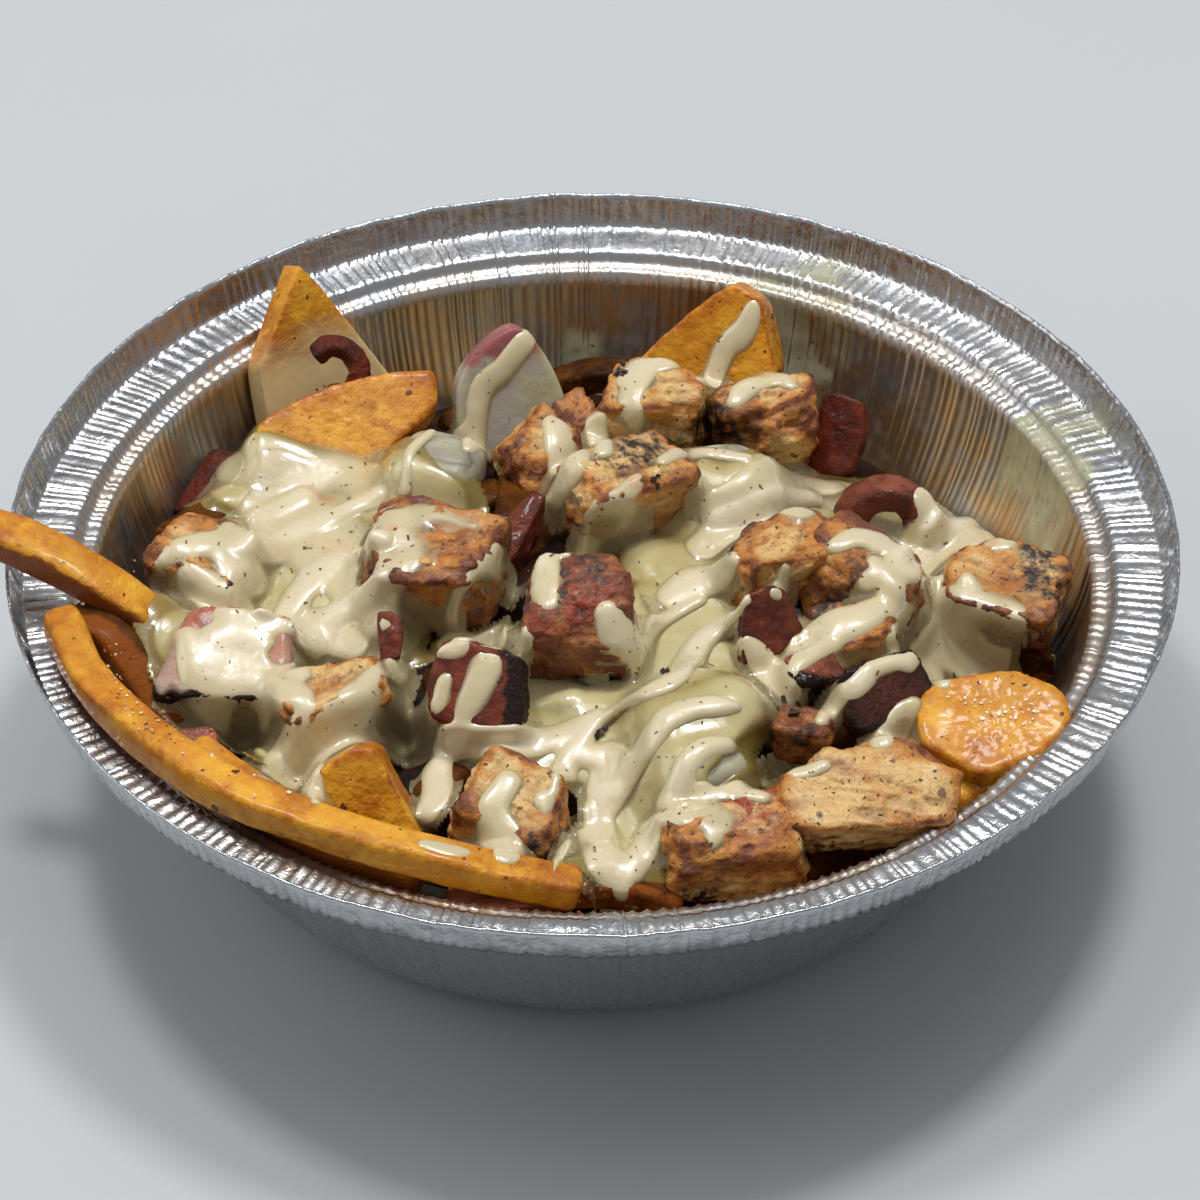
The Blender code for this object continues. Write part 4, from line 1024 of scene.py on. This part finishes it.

# Soft onion: petals, each of two nested rounded layers

onion = [
    dict(at=(15.6, -40.4, 43.0), size=(15, 12, 8), turn=24),
    dict(at=(16.4, -50.8, 41.4), size=(12, 9, 7), turn=30),
    dict(at=(-24.6, 23.6, 39.8), size=(14, 12, 9), turn=-20),
    dict(at=(20.6, 19.6, 40.6), size=(14, 13, 7.5), turn=15),
]


def makePetal(seed, size, inset, turn, at):
    # a flattened rounded block with grooves along its length, an inner layer smaller, raised, moved along and
    # turned
    half = np.array(size, float) / 2 * (1 - inset)
    normals = boxSides
    points, faces, rounded = cutBlock(normals, np.tile(half, 2), 34, 3.4)
    out = unit(points)
    groove = noise(points * (0.25, 1.6, 1.0), 2.4, seed, 2)
    points = points + out * (0.35 * noise(points, 5.0, seed + 3, 2) + 0.16 * groove)[:, None]
    points[:, 2] += inset * half[2] * 1.4
    points[:, 0] += inset * half[0] * 0.5
    values = {"skin": np.clip(0.4 + 0.6 * groove + 0.3 * rounded, 0, 1)}
    return turned(points, turn + 40 * inset, 0) + np.array(at), faces, values


for index, petal in enumerate(onion):
    layers = [makePetal(20 * index + step, inset=inset, **petal) for step, inset in enumerate((0.0, 0.2))]
    part = keepSurface(f"onion{index + 1:02d}", blended(layers))
    makePiece(f"onionPiece{index + 1:02d}", part[0], part[1], materials["onion"],
              [f"onion_{index + 1:02d}"], part[2])
print("onion:", len(onion), "pieces")

# The sauces are draped in a frame that leans towards the viewer, so that they also run down front sides

drape = {
    "lean": 27.0,
    "cell": 0.5,
    "across": (-93.0, 93.0),
    "deep": (-80.0, 98.0),
    "floor": 8.0,
    "under": 1.5,
    "steepest": 5.5,
    "sink": 0.35,
    "smooth": 0.75,
    "rippleSize": 6.0,
    "rippleShare": 0.3,
    "rippleDepth": 0.08,
    "edgeSoft": 0.38,
    "thinning": 1.1,
    "thinningSlopes": (2.3, 3.6),
    "stretchMost": 2.6,
    "shoreDepth": 4.6,
    "shoreWidth": 1.9,
}
leanSin = math.sin(math.radians(drape["lean"]))
leanCos = math.cos(math.radians(drape["lean"]))
acrossLine = np.arange(*drape["across"], drape["cell"])
deepLine = np.arange(*drape["deep"], drape["cell"])


def toDrape(points):
    # a = x, b = y cos + z sin, h = z cos - y sin
    x, y, z = points[..., 0], points[..., 1], points[..., 2]
    return np.stack([x, y * leanCos + z * leanSin, z * leanCos - y * leanSin], -1)


def fromDrape(a, b, h):
    return np.stack([a, b * leanCos - h * leanSin, b * leanSin + h * leanCos], -1)


def blur(field, reach):
    # Gaussian weights over neighbouring cells, one direction after the other
    steps = int(math.ceil(2.5 * reach / drape["cell"]))
    weights = np.exp(-0.5 * (np.arange(-steps, steps + 1) * drape["cell"] / reach) ** 2)
    weights /= weights.sum()
    for axis in (0, 1):
        padded = np.pad(field, [(steps, steps) if side == axis else (0, 0) for side in (0, 1)], mode="edge")
        length = field.shape[axis]
        field = sum(weight * np.take(padded, np.arange(k, k + length), axis=axis)
                    for k, weight in enumerate(weights))
    return field


def cellOf(spot, whole=np.round, margin=0):
    # row and column of the cell that each (a, b) is in
    column = whole((spot[..., 0] - acrossLine[0]) / drape["cell"]).astype(int)
    row = whole((spot[..., 1] - deepLine[0]) / drape["cell"]).astype(int)
    column = np.clip(column, margin, len(acrossLine) - 1 - margin)
    return np.clip(row, margin, len(deepLine) - 1 - margin), column


def topOf(names):
    # highest h of these surfaces in each cell, from their vertices and the middles of their faces
    field = np.full((len(deepLine), len(acrossLine)), -1e3)
    for name in names:
        points, faces = surfaces[name][:2]
        cloud = [points]
        for group in faces:
            corner = points[group]
            cloud += [corner.mean(1), (corner[:, 0] + corner[:, 1]) / 2, (corner[:, 1] + corner[:, 2]) / 2]
        spot = toDrape(np.vstack(cloud))
        np.maximum.at(field, cellOf(spot), spot[:, 2])
    for _ in range(3):
        around = [np.roll(field, shift, axis) for axis in (0, 1) for shift in (-1, 1)]
        field = np.where(field < -900, np.max(around, axis=0), field)
    return np.where(field < -900, drape["floor"], field)


def softCliffs(field):
    # raise what lies beside a cliff: the highest neighbour less steepest * its distance, step by step
    near = [(shift, math.hypot(*shift)) for shift in product((-1, 0, 1), repeat=2) if any(shift)]
    for _ in range(6):
        field = np.max([field] + [np.roll(field, shift, (0, 1)) - drape["steepest"] * drape["cell"] * length
                                  for shift, length in near], axis=0)
    return field


def landed(pixels, field):
    # where each sight line first drops under the field, as (a, b)
    start, rays = sightLines(np.asarray(pixels, float))
    low, high = 5.0, 70.0
    t = (np.linspace(high, low, 520)[None] - start[2]) / rays[:, 2:3]
    spot = toDrape(start + rays[:, None] * t[..., None])
    under = spot[..., 2] < field[cellOf(spot)]
    first = np.where(under.any(1), under.argmax(1), 519)
    return spot[np.arange(len(first)), first, :2]


def beads(strokes, field, widen, flatten):
    # thickness depth * (1 - (distance / half width)^2.5)^0.65, all strokes joined by log(sum(exp(g t))) / g
    grip = 9.0
    total = np.full(field.shape, math.exp(-2.0 * grip))
    for depth, *route in strokes:
        route = np.array(route, float)
        spot = np.c_[landed(route[:, :2], field), route[:, 2] * widen]
        length = np.linalg.norm(np.diff(spot[:, :2], axis=0), axis=1).sum() if len(spot) > 1 else 0
        line = routePoints(spot, max(3, int(length / 0.5))) if len(spot) > 1 else spot
        reach = line[:, 2].max() * 1.8 + 1
        low, high = line[:, :2].min(0) - reach, line[:, :2].max(0) + reach
        columns = np.flatnonzero((acrossLine > low[0]) & (acrossLine < high[0]))
        rows = np.flatnonzero((deepLine > low[1]) & (deepLine < high[1]))
        if not len(columns) or not len(rows):
            continue
        near = np.full((len(rows), len(columns)), 1e3)
        for a, b, half in line:
            away = (acrossLine[columns][None] - a) ** 2 + (deepLine[rows][:, None] - b) ** 2
            near = np.minimum(near, away / half ** 2)
        inside = 1 - near ** 1.25
        tall = depth * flatten * min(1.0, max(0.5, 1.2 - 0.13 * line[:, 2].max()))
        bead = np.maximum(tall * np.sign(inside) * np.abs(inside) ** 0.65, -2.0)
        total[np.ix_(rows, columns)] += np.exp(grip * bead)
    return np.log(total) / grip


def closedSheet(top, low, keep):
    # the kept cells of a grid as a closed sheet: its top, its underside and a side all round
    quad = keep[:-1, :-1] & keep[1:, :-1] & keep[:-1, 1:] & keep[1:, 1:]
    index = np.arange(keep.size).reshape(keep.shape)
    around = [index[:-1, :-1], index[:-1, 1:], index[1:, 1:], index[1:, :-1]]
    quads = np.stack(around, -1)[quad]
    padded = np.pad(quad, 1)
    open_ = [~padded[:-2, 1:-1], ~padded[1:-1, 2:], ~padded[2:, 1:-1], ~padded[1:-1, :-2]]
    used = np.unique(quads)
    number = np.zeros(keep.size, int)
    number[used] = np.arange(len(used))
    count = len(used)
    faces = [number[quads], number[quads][:, ::-1] + count]
    for side in range(4):
        edge = quad & open_[side]
        start, end = number[around[side][edge]], number[around[(side + 1) % 4][edge]]
        faces.append(np.stack([end, start, start + count, end + count], -1))
    points = np.vstack([face.reshape(-1, 3)[used] for face in (top, low)])
    return points, [np.vstack(faces)], used


def evenEdge(a, b, top, level, keep):
    # move the outermost kept cells by -level * gradient / |gradient|^2, onto the line where the level is 0
    inner = keep.copy()
    for axis, shift in product((0, 1), (-1, 1)):
        inner &= np.roll(keep, shift, axis)
    gradient = np.stack(np.gradient(level, drape["cell"]))
    climb = np.stack(np.gradient(top, drape["cell"]))
    move = -level * gradient / np.maximum((gradient ** 2).sum(0), 0.05)
    length = np.linalg.norm(move, axis=0)
    move = move * np.minimum(1, 0.9 * drape["cell"] / np.maximum(length, 1e-6)) * (keep & ~inner)
    return a + move[1], b + move[0], top + np.clip((climb * move).sum(0), -1.8, 1.8)


def sheetMesh(top, thick):
    # the sheet's top, and the same a little under the surface that it lies on
    level = thick + drape["under"]
    keep = level > 0
    b, a = np.meshgrid(deepLine, acrossLine, indexing="ij")
    a, b, top = evenEdge(a, b, top, level, keep)
    low = top - np.maximum(thick, 0) * 0.9 - drape["under"] * 0.6
    points, faces, used = closedSheet(fromDrape(a, b, top), fromDrape(a, b, low), keep)
    # clamp: nothing goes further out than the wall
    room = np.where(points[:, 2] < bowl["ledgeHeight"], wallRadius(points[:, 2], 0.15), bowl["riserRadius"])
    points[:, :2] *= np.minimum(1, room / np.maximum(np.hypot(points[:, 0], points[:, 1]), 1.0))[:, None]
    return points, faces, {"thick": np.tile(np.clip(thick.ravel()[used] / 1.2, 0, 1), 2)}


# Melted cheese strokes: thickness in mm, then (px, py, half width in mm) along each
cheeseStrokes = [
    (2.6, (250, 480, 8), (310, 500, 9), (372, 505, 7)),
    (3.0, (240, 560, 8), (300, 585, 10), (355, 590, 9), (385, 640, 6)),
    (2.4, (200, 650, 7), (250, 670, 6.5), (285, 695, 4.5)),
    (2.2, (274, 764, 3.6), (300, 742, 4)),
    (2.2, (395, 490, 6), (440, 510, 5)),
    (2.4, (500, 400, 5), (545, 435, 6), (590, 445, 4.5)),
    (2.6, (640, 470, 6), (690, 500, 8), (740, 500, 7), (800, 495, 6)),
    (2.6, (545, 680, 7), (620, 690, 9), (700, 650, 10), (760, 640, 7)),
    (2.4, (655, 560, 6), (700, 590, 8), (650, 620, 7)),
    (2.4, (520, 740, 6), (600, 760, 9), (690, 740, 9), (770, 715, 6)),
    (2.4, (590, 820, 7), (635, 850, 7), (620, 790, 7), (540, 790, 4)),
    (2.6, (840, 505, 7), (920, 525, 9), (975, 535, 7), (992, 530, 5)),
    (2.6, (910, 590, 8), (965, 600, 7), (1000, 630, 7), (915, 640, 5)),
    (1.8, (445, 648, 1.8), (480, 636, 3.0), (525, 646, 2.2)),
    (4.2, (556, 672, 4.6), (560, 696, 5.0)),
    (1.8, (770, 690, 4), (800, 640, 4)),
]

# White sauce strokes, in the same form
whiteStrokes = [
    (2.1, (374, 498, 1.6), (330, 520, 2.2), (282, 540, 2.4), (244, 550, 1.8)),
    (2.0, (382, 540, 1.6), (342, 562, 2.4), (302, 592, 2.6), (264, 612, 2.0)),
    (1.9, (378, 592, 1.8), (340, 614, 2.4), (302, 640, 2.2)),
    (1.8, (304, 498, 2.0), (262, 520, 2.2)),
    (1.9, (716, 522, 1.6), (760, 506, 2.2), (812, 498, 2.0)),
    (1.9, (902, 556, 1.6), (930, 540, 2.2), (962, 522, 2.4), (990, 512, 1.8)),
    (0.9, (236, 468, 3.6), (290, 474, 4.6), (350, 478, 4.2), (372, 500, 3.0)),
    (0.9, (262, 510, 4.0), (320, 520, 4.6), (372, 528, 3.2)),
    (1.0, (532, 335, 2), (505, 368, 1.8), (478, 400, 2.0), (470, 448, 1.4)),
    (0.9, (405, 492, 1.2), (410, 452, 1.2), (430, 432, 1.2), (462, 430, 1.2), (482, 446, 1.0)),
    (1.1, (556, 425, 2.4), (570, 455, 3.2), (560, 490, 2.2)),
    (0.5, (372, 526, 1.8), (398, 518, 3.0), (436, 512, 1.8), (474, 524, 1.2)),
    (0.5, (396, 524, 3.4), (408, 552, 3.0), (402, 578, 1.4)),
    (0.6, (498, 548, 1.2), (482, 576, 1.9), (464, 600, 1.8), (452, 618, 1.2)),
    (1.3, (543, 556, 2.4), (542, 580, 2.8), (548, 602, 1.8)),
    (1.3, (608, 612, 2.0), (620, 642, 3.2), (622, 666, 2.2)),
    (1.3, (228, 545, 3.6), (268, 540, 4.6), (320, 556, 5.4), (366, 584, 4.6), (384, 618, 2.6)),
    (1.5, (262, 516, 2.0), (262, 542, 3.4)),
    (1.2, (163, 562, 1.6), (184, 548, 2.4), (220, 546, 2.8), (244, 570, 3.4)),
    (1.2, (232, 600, 3.0), (262, 622, 3.0), (320, 630, 4.0), (356, 650, 2.0)),
    (1.3, (186, 636, 2.0), (200, 662, 3.6), (212, 690, 3.8), (250, 696, 3.6), (288, 694, 3.0)),
    (1.2, (215, 640, 3.0), (245, 640, 2.6), (300, 672, 2.0)),
    (1.1, (205, 655, 3.4), (235, 665, 3.6), (262, 684, 3.0)),
    (1.1, (190, 575, 2.4), (215, 600, 3.0), (236, 625, 3.0)),
    (0.9, (350, 694, 1.6), (372, 682, 2.4), (396, 676, 2.0)),
    (1.1, (300, 696, 2.2), (306, 726, 2.0), (290, 756, 3.2), (272, 776, 2.6)),
    (1.0, (330, 716, 2.6), (362, 700, 3.0), (372, 728, 2.0), (322, 748, 2.4)),
    (0.9, (318, 752, 1.8), (312, 784, 1.8), (316, 800, 1.2)),
    (0.45, (424, 844, 1.2), (446, 849, 1.9), (466, 852, 1.2)),
    (0.6, (444, 680, 1.3), (434, 706, 1.8), (420, 736, 1.6), (402, 754, 1.0)),
    (0.7, (492, 650, 2.5), (484, 674, 2.4), (470, 704, 2.0), (458, 730, 1.3)),
    (1.4, (446, 746, 1.5), (438, 770, 2.4), (436, 796, 2.2), (426, 816, 1.5)),
    (1.5, (600, 712, 0.8), (588, 722, 1.8), (560, 737, 2.4), (520, 749, 2.4), (480, 748, 2.0),
     (446, 752, 1.7)),
    (1.3, (440, 652, 1.2), (462, 640, 1.9), (490, 632, 1.8), (525, 640, 1.5)),
    (1.6, (722, 574, 2.6), (696, 582, 3.5), (674, 596, 2.8)),
    (1.1, (700, 602, 1.0), (672, 616, 1.3), (650, 634, 1.4), (634, 650, 1.4), (624, 662, 1.2)),
    (1.6, (744, 600, 1.6), (716, 630, 1.9), (694, 652, 2.3), (676, 674, 2.3), (650, 690, 1.9),
     (622, 706, 1.2),
     (600, 722, 1.1), (582, 742, 1.6), (566, 766, 2.0), (560, 790, 1.6)),
    (1.6, (738, 708, 0.9), (718, 706, 1.9), (692, 708, 2.1), (664, 722, 2.2), (646, 746, 2.2),
     (626, 776, 2.6),
     (604, 806, 2.6), (590, 834, 2.4)),
    (1.3, (582, 756, 1.8), (610, 764, 3.0), (604, 792, 2.6)),
    (1.5, (728, 744, 1.5), (706, 748, 2.0), (688, 764, 2.1), (676, 788, 2.0), (664, 804, 1.4)),
    (1.4, (596, 832, 2.8), (606, 862, 3.0), (622, 884, 2.2)),
    (1.4, (650, 828, 1.8), (642, 852, 2.2), (630, 876, 1.8)),
    (1.1, (545, 800, 1.8), (560, 830, 1.8), (548, 868, 1.4)),
    (1.0, (508, 782, 2.0), (492, 810, 2.4), (500, 838, 3.0), (508, 852, 2.4)),
    (0.7, (664, 816, 1.6), (690, 810, 3.2), (716, 818, 2.8), (712, 842, 1.2)),
    (1.1, (700, 794, 1.8), (730, 789, 2.0), (762, 796, 1.4)),
    (1.0, (774, 780, 1.5), (794, 770, 1.8), (824, 766, 1.2)),
    (0.9, (874, 562, 1.4), (892, 584, 2.4), (894, 610, 1.8)),
    (1.5, (884, 606, 1.8), (858, 618, 3.2), (828, 634, 3.4), (804, 652, 2.6), (792, 670, 1.4)),
    (1.1, (900, 660, 1.6), (874, 666, 1.8), (856, 686, 1.9), (834, 708, 1.8), (822, 720, 1.2)),
    (1.1, (908, 664, 1.4), (928, 672, 2.3), (944, 682, 1.6)),
    (1.2, (744, 640, 1.2), (762, 662, 2.2), (780, 684, 2.2), (792, 694, 1.4)),
    (0.9, (882, 738, 2.2), (900, 722, 2.0), (914, 704, 1.2)),
    (0.8, (757, 303, 1.6), (744, 332, 2.1), (724, 352, 1.9), (704, 380, 1.7)),
    (1.1, (624, 380, 1.8), (648, 364, 3.0), (672, 362, 1.8)),
    (1.0, (648, 366, 2.4), (630, 398, 2.2), (636, 416, 1.6)),
    (1.1, (735, 402, 1.6), (750, 384, 2.4), (776, 377, 2.2), (792, 386, 1.2)),
    (0.9, (566, 552, 1.4), (592, 526, 2.0), (622, 498, 2.2), (638, 478, 1.4)),
    (1.1, (596, 430, 2.0), (604, 452, 1.6)),
    (1.1, (664, 461, 1.4), (700, 452, 1.8), (744, 456, 1.5)),
    (1.5, (716, 512, 2.8), (756, 490, 4.2), (800, 480, 4.0), (832, 488, 2.6)),
    (1.3, (704, 548, 3.0), (740, 524, 3.6), (800, 508, 3.0)),
    (1.3, (836, 546, 1.6), (858, 536, 2.2), (880, 544, 2.6), (898, 552, 1.8)),
    (1.3, (926, 506, 2.8), (954, 504, 3.8), (982, 508, 3.8), (996, 526, 3.2), (1004, 540, 2.4)),
    (1.3, (900, 545, 3.4), (936, 532, 4.6), (968, 530, 4.4), (996, 542, 2.2)),
    (1.2, (900, 560, 2.6), (916, 572, 2.2), (934, 590, 1.2)),
    (1.2, (966, 578, 1.6), (974, 600, 3.0), (986, 622, 4.6), (994, 648, 4.8), (960, 650, 4.6),
     (926, 650, 3.6),
     (898, 644, 2.4)),
    (1.0, (944, 600, 2.4), (962, 622, 3.6), (980, 640, 3.4)),
    (0.9, (1010, 640, 2.4), (1012, 660, 2.2), (996, 668, 2.2), (965, 670, 2.2)),
    (0.9, (950, 628, 2.8), (912, 636, 2.4)),
    (0.8, (868, 580, 1.8), (884, 568, 1.6)),
    (0.8, (776, 590, 1.5), (786, 568, 1.1)),
    (1.0, (770, 680, 2.2), (790, 660, 2.2), (800, 645, 1.5)),
]


# Gaps that both sauces leave open, where the heap's painted deep shade shows dark
gapStrokes = [
    (1.6, (402, 700, 2.4), (404, 738, 2.2)),
    (1.6, (226, 748, 2.8), (246, 734, 2.2)),
    (1.6, (716, 778, 1.2), (760, 766, 2.2), (802, 752, 2.8), (850, 752, 1.8)),
    (1.6, (470, 628, 1.6), (502, 614, 1.8), (520, 602, 1.2)),
    (1.6, (366, 570, 1.7)),
    (1.6, (566, 818, 1.5), (546, 846, 1.6), (540, 870, 1.4)),
    (1.6, (645, 893, 1.8), (690, 898, 2.2)),
    (1.6, (280, 655, 1.5)),
    (1.6, (606, 680, 1.9), (622, 676, 1.2)),
    (1.6, (884, 508, 2.6), (900, 512, 2.0)),
    (1.6, (575, 795, 1.2), (572, 815, 1.8)),
    (1.6, (1022, 666, 1.8), (1050, 640, 2.0)),
    (1.6, (462, 824, 1.9), (456, 802, 1.2)),
    (1.6, (702, 432, 1.8), (708, 402, 1.6)),
]


def dressSauce(name, strokes, names, soften, spread, material, widen, flatten, shore):
    # the strokes laid on the softened top of what they run over, down to nothing a little before the wall
    field = softCliffs(topOf(names))
    high = field
    for shift, axis in product((-1, 1), (0, 1)) if spread else ():
        high = np.maximum(high, np.roll(high, shift * spread, axis))
    base = np.maximum(blur(high, soften), field - drape["sink"])
    thick = beads(strokes, field, widen, flatten)
    thick = np.minimum(thick, -beads(gapStrokes, field, 1.0, 1.0))
    b, a = np.meshgrid(deepLine, acrossLine, indexing="ij")
    ripple = noise(np.stack([a, b, 0 * a], -1), drape["rippleSize"], len(strokes), 2)
    thick = thick * (1 + drape["rippleShare"] * ripple) + drape["rippleDepth"] * ripple
    thick = blur(thick, drape["edgeSoft"])
    smooth = blur(base, drape["smooth"])
    slope = np.hypot(*np.gradient(smooth, drape["cell"]))
    thick = thick - drape["thinning"] * ease(blur(slope, 0.8), *drape["thinningSlopes"])
    spot = fromDrape(a, b, smooth)
    clear = wallRadius(spot[..., 2]) - np.hypot(spot[..., 0], spot[..., 1])
    thick = thick - drape["shoreDepth"] * ease(-clear, -shore, drape["shoreWidth"] - shore)
    stretch = np.minimum(np.sqrt(1 + slope ** 2), drape["stretchMost"])
    top = smooth + np.where(thick > 0, thick * stretch, thick)
    points, faces, values = sheetMesh(top, thick)
    keepSurface(name, (points, faces, values))
    makePiece(name, points, faces, material, ["cheese_left", "cheese_sauce"], values)
    print(name + ":", len(points), "vertices")


belowCheese = [name for name in surfaces if not name.startswith(("chicken", "bacon"))]
dressSauce("meltedCheese", cheeseStrokes, belowCheese, 1.6, 3, materials["melted"],
           widen=0.95, flatten=0.75, shore=5.4)
dressSauce("whiteSauce", whiteStrokes, list(surfaces), 1.4, 0, materials["white"],
           widen=1.05, flatten=0.72, shore=2.9)

finalTop = blur(topOf(list(surfaces)), 0.4)

# Small bits: how many, longest and shortest in mm, flatness, and the photo's windows they lie in

bits = {
    "herbs": dict(material="herb", count=230, long=(0.4, 1.5), flat=0.16, narrow=0.3, seed=1,
                  windows=[(150, 300, 1060, 880), (200, 440, 420, 720), (560, 450, 1030, 760)]),
    "pepper": dict(material="pepper", count=420, long=(0.2, 0.6), flat=0.4, narrow=0.8, seed=2,
                   windows=[(150, 300, 1060, 900), (440, 380, 860, 700), (620, 760, 980, 900)]),
    "burntBits": dict(material="pepper", count=26, long=(1.4, 2.6), flat=0.6, narrow=0.6, seed=3,
                      windows=[(596, 724, 606, 740), (778, 700, 800, 718), (614, 360, 628, 376),
                               (652, 476, 660, 492), (662, 664, 670, 672), (366, 562, 378, 578)]),
    "saltOnChunk": dict(material="salt", count=60, long=(0.3, 1.3), flat=0.3, narrow=0.7, seed=4,
                        windows=[(935, 672, 1060, 735), (960, 690, 1040, 726)]),
    "saltOnFries": dict(material="salt", count=90, long=(0.3, 1.2), flat=0.5, narrow=0.7, seed=5,
                        windows=[(104, 650, 122, 690), (124, 690, 142, 716), (142, 706, 170, 736),
                                 (108, 716, 140, 760), (176, 740, 214, 780), (240, 775, 300, 812),
                                 (60, 560, 150, 610)]),
    "crumbs": dict(material="crumb", count=130, long=(0.3, 1.3), flat=0.5, narrow=0.7, seed=6,
                   windows=[(100, 640, 130, 700), (130, 690, 175, 745), (150, 700, 230, 790),
                            (560, 880, 600, 915), (1000, 770, 1060, 800), (440, 840, 600, 900)]),
}


bitsAboveFloor = 4.0


def onTop(pixels):
    # the spots that these pixels of the photo look at, and the way that the surface faces there
    spot = landed(pixels, finalTop)
    row, column = cellOf(spot, np.trunc, 1)
    slopeA = (finalTop[row, column + 1] - finalTop[row, column - 1]) / (2 * drape["cell"])
    slopeB = (finalTop[row + 1, column] - finalTop[row - 1, column]) / (2 * drape["cell"])
    facing = np.stack([-slopeA, -slopeB, np.ones_like(slopeA)], -1)
    facing = fromDrape(*unit(facing).T)
    top = finalTop[row, column]
    return fromDrape(spot[:, 0], spot[:, 1], top), facing, top > drape["floor"] + bitsAboveFloor


def makeBits(name, material, count, long, flat, narrow, seed, windows):
    # eight jittered corners a bit, turned at random on the surface that it lies on
    rng = np.random.default_rng(seed)
    window = np.array(windows, float)[rng.integers(0, len(windows), count)]
    pixels = window[:, :2] + (window[:, 2:] - window[:, :2]) * rng.uniform(0, 1, (count, 2))
    spot, up, on = onTop(pixels)
    on = on & (np.hypot(spot[:, 0], spot[:, 1]) < bowl["shelfRadius"]) & (spot[:, 2] > 24)
    spot, up = spot[on], up[on]
    count = len(spot)
    across = unit(np.cross(up, rng.normal(0, 1, (count, 3))))
    along = np.cross(up, across)
    corner = np.array(list(product((-1, 1), repeat=3)), float)
    size = rng.uniform(*long, (count, 1, 1)) / 2 * np.array([1.0, narrow, flat])
    size = size * rng.uniform(0.35, 1.0, (count, 1, 1))
    local = corner[None] * rng.uniform(0.25, 1.0, (count, 8, 3)) * size
    points = (spot[:, None] + local[..., :1] * across[:, None] + local[..., 1:2] * along[:, None]
              + local[..., 2:] * up[:, None])
    box = np.array([(0, 1, 3, 2), (4, 6, 7, 5), (0, 4, 5, 1), (2, 3, 7, 6), (0, 2, 6, 4), (1, 5, 7, 3)])
    faces = (box[None] + 8 * np.arange(count)[:, None, None]).reshape(-1, 4)
    makePiece(name, points.reshape(-1, 3), [faces], materials[material], smooth=False)
    print(name, count)


for name, bit in bits.items():
    makeBits(name, **bit)

# Thin smears of cheese on the wall and the rim: angle and spread in degrees, heights along the foil in mm

smears = [
    dict(angle=64, spread=12, low=66, high=112, depth=0.36, seed=1),
    dict(angle=92, spread=8, low=66, high=92, depth=0.3, seed=2),
    dict(angle=19, spread=11, low=68, high=114, depth=0.36, seed=3),
]


def makeSmear(angle, spread, low, high, depth, seed):
    # lift = depth * (0.8 - 1.5 r^2 + noise) over the foil's middle line, kept where it clears the foil
    line = bowlLine()
    along = lengthAlong(line[:, :2])
    way = unit(np.gradient(line[:, :2], axis=0))
    v, u = np.meshgrid(np.linspace(-1, 1, 90), np.linspace(1, -1, 80), indexing="ij")
    s = low + (high - low) * (v + 1) / 2
    turn = np.radians(angle + spread * u)
    radius, z = (np.interp(s, along, line[:, axis]) for axis in (0, 1))
    outR, outZ = -np.interp(s, along, way[:, 1]), np.interp(s, along, way[:, 0])
    lift = depth * (0.8 - 1.5 * np.hypot(u, v) ** 2
                    + 1.3 * noise(np.stack([u * 14 + seed * 50, s * 0.8, 0 * u], -1), 8.0, seed, 3))
    sides = []
    for raised in (0.22 + lift, 0 * lift - 0.12):
        r, h = radius + outR * raised, z + outZ * raised
        sides.append(np.stack([r * np.cos(turn), r * np.sin(turn), h], -1))
    points, faces, used = closedSheet(*sides, lift > -0.2)
    return points, faces, {"thick": np.tile(ease(lift.ravel()[used], -0.15, 0.25), 2) * 0.75}


for smear in smears:
    points, faces, values = makeSmear(**smear)
    makePiece(f"cheeseSmear{smear['seed']}", points, faces, materials["smear"], values=values)
print("bits and smears done")

# Floor, world and lights

stage = {
    "floorSize": 6.0,
    "skyStrength": 0.38,
    "backLight": dict(at=(0.05, 0.22, 1.75), size=1.3, power=6.6),
    "leftLight": dict(at=(-1.3, 0.1, 1.0), size=1.0, power=4.0),
    "smallLamp": dict(at=(0.25, 0.35, 1.5), size=0.24, power=9.5),
    "smallLampLeft": dict(at=(-0.35, 0.3, 1.4), size=0.2, power=6.5),
}


def makeStage():
    mesh = bpy.data.meshes.new("floor")
    half = stage["floorSize"] / 2
    corners = [(-half, -half, 0), (half, -half, 0), (half, half, 0), (-half, half, 0)]
    mesh.from_pydata(corners, [], [(0, 1, 2, 3)])
    material, tree, shader = newMaterial("pale floor", {"Roughness": 0.6})
    cloud = noiseNode(tree, place(tree), 9.0, 2.0)
    feed(tree, shader, mixColour(tree, cloud, paint(188, 191, 192), paint(183, 186, 188)))
    mesh.materials.append(material)
    floor = bpy.data.objects.new("floor", mesh)
    bpy.context.collection.objects.link(floor)


def makeLight(name, at, size, power):
    # a square soft light turned to the middle of the food
    data = bpy.data.lights.new(name, "AREA")
    data.shape = "SQUARE"
    data.size = size
    data.energy = power
    light = bpy.data.objects.new(name, data)
    light.location = at
    aim = np.array([0.0, 0.0, 0.03]) - np.array(at)
    tip = math.acos(-aim[2] / np.linalg.norm(aim))
    light.rotation_euler = Euler((tip, 0, math.atan2(aim[0], -aim[1]) + math.pi))
    bpy.context.collection.objects.link(light)


def makeSky():
    world = bpy.data.worlds.new("softSky")
    bpy.context.scene.world = world
    world.use_nodes = True
    sky = world.node_tree.nodes["Background"]
    sky.inputs[0].default_value = paint(226, 230, 234)
    sky.inputs[1].default_value = stage["skyStrength"]


makeStage()
makeSky()
for name in ("backLight", "leftLight", "smallLamp", "smallLampLeft"):
    makeLight(name, **stage[name])
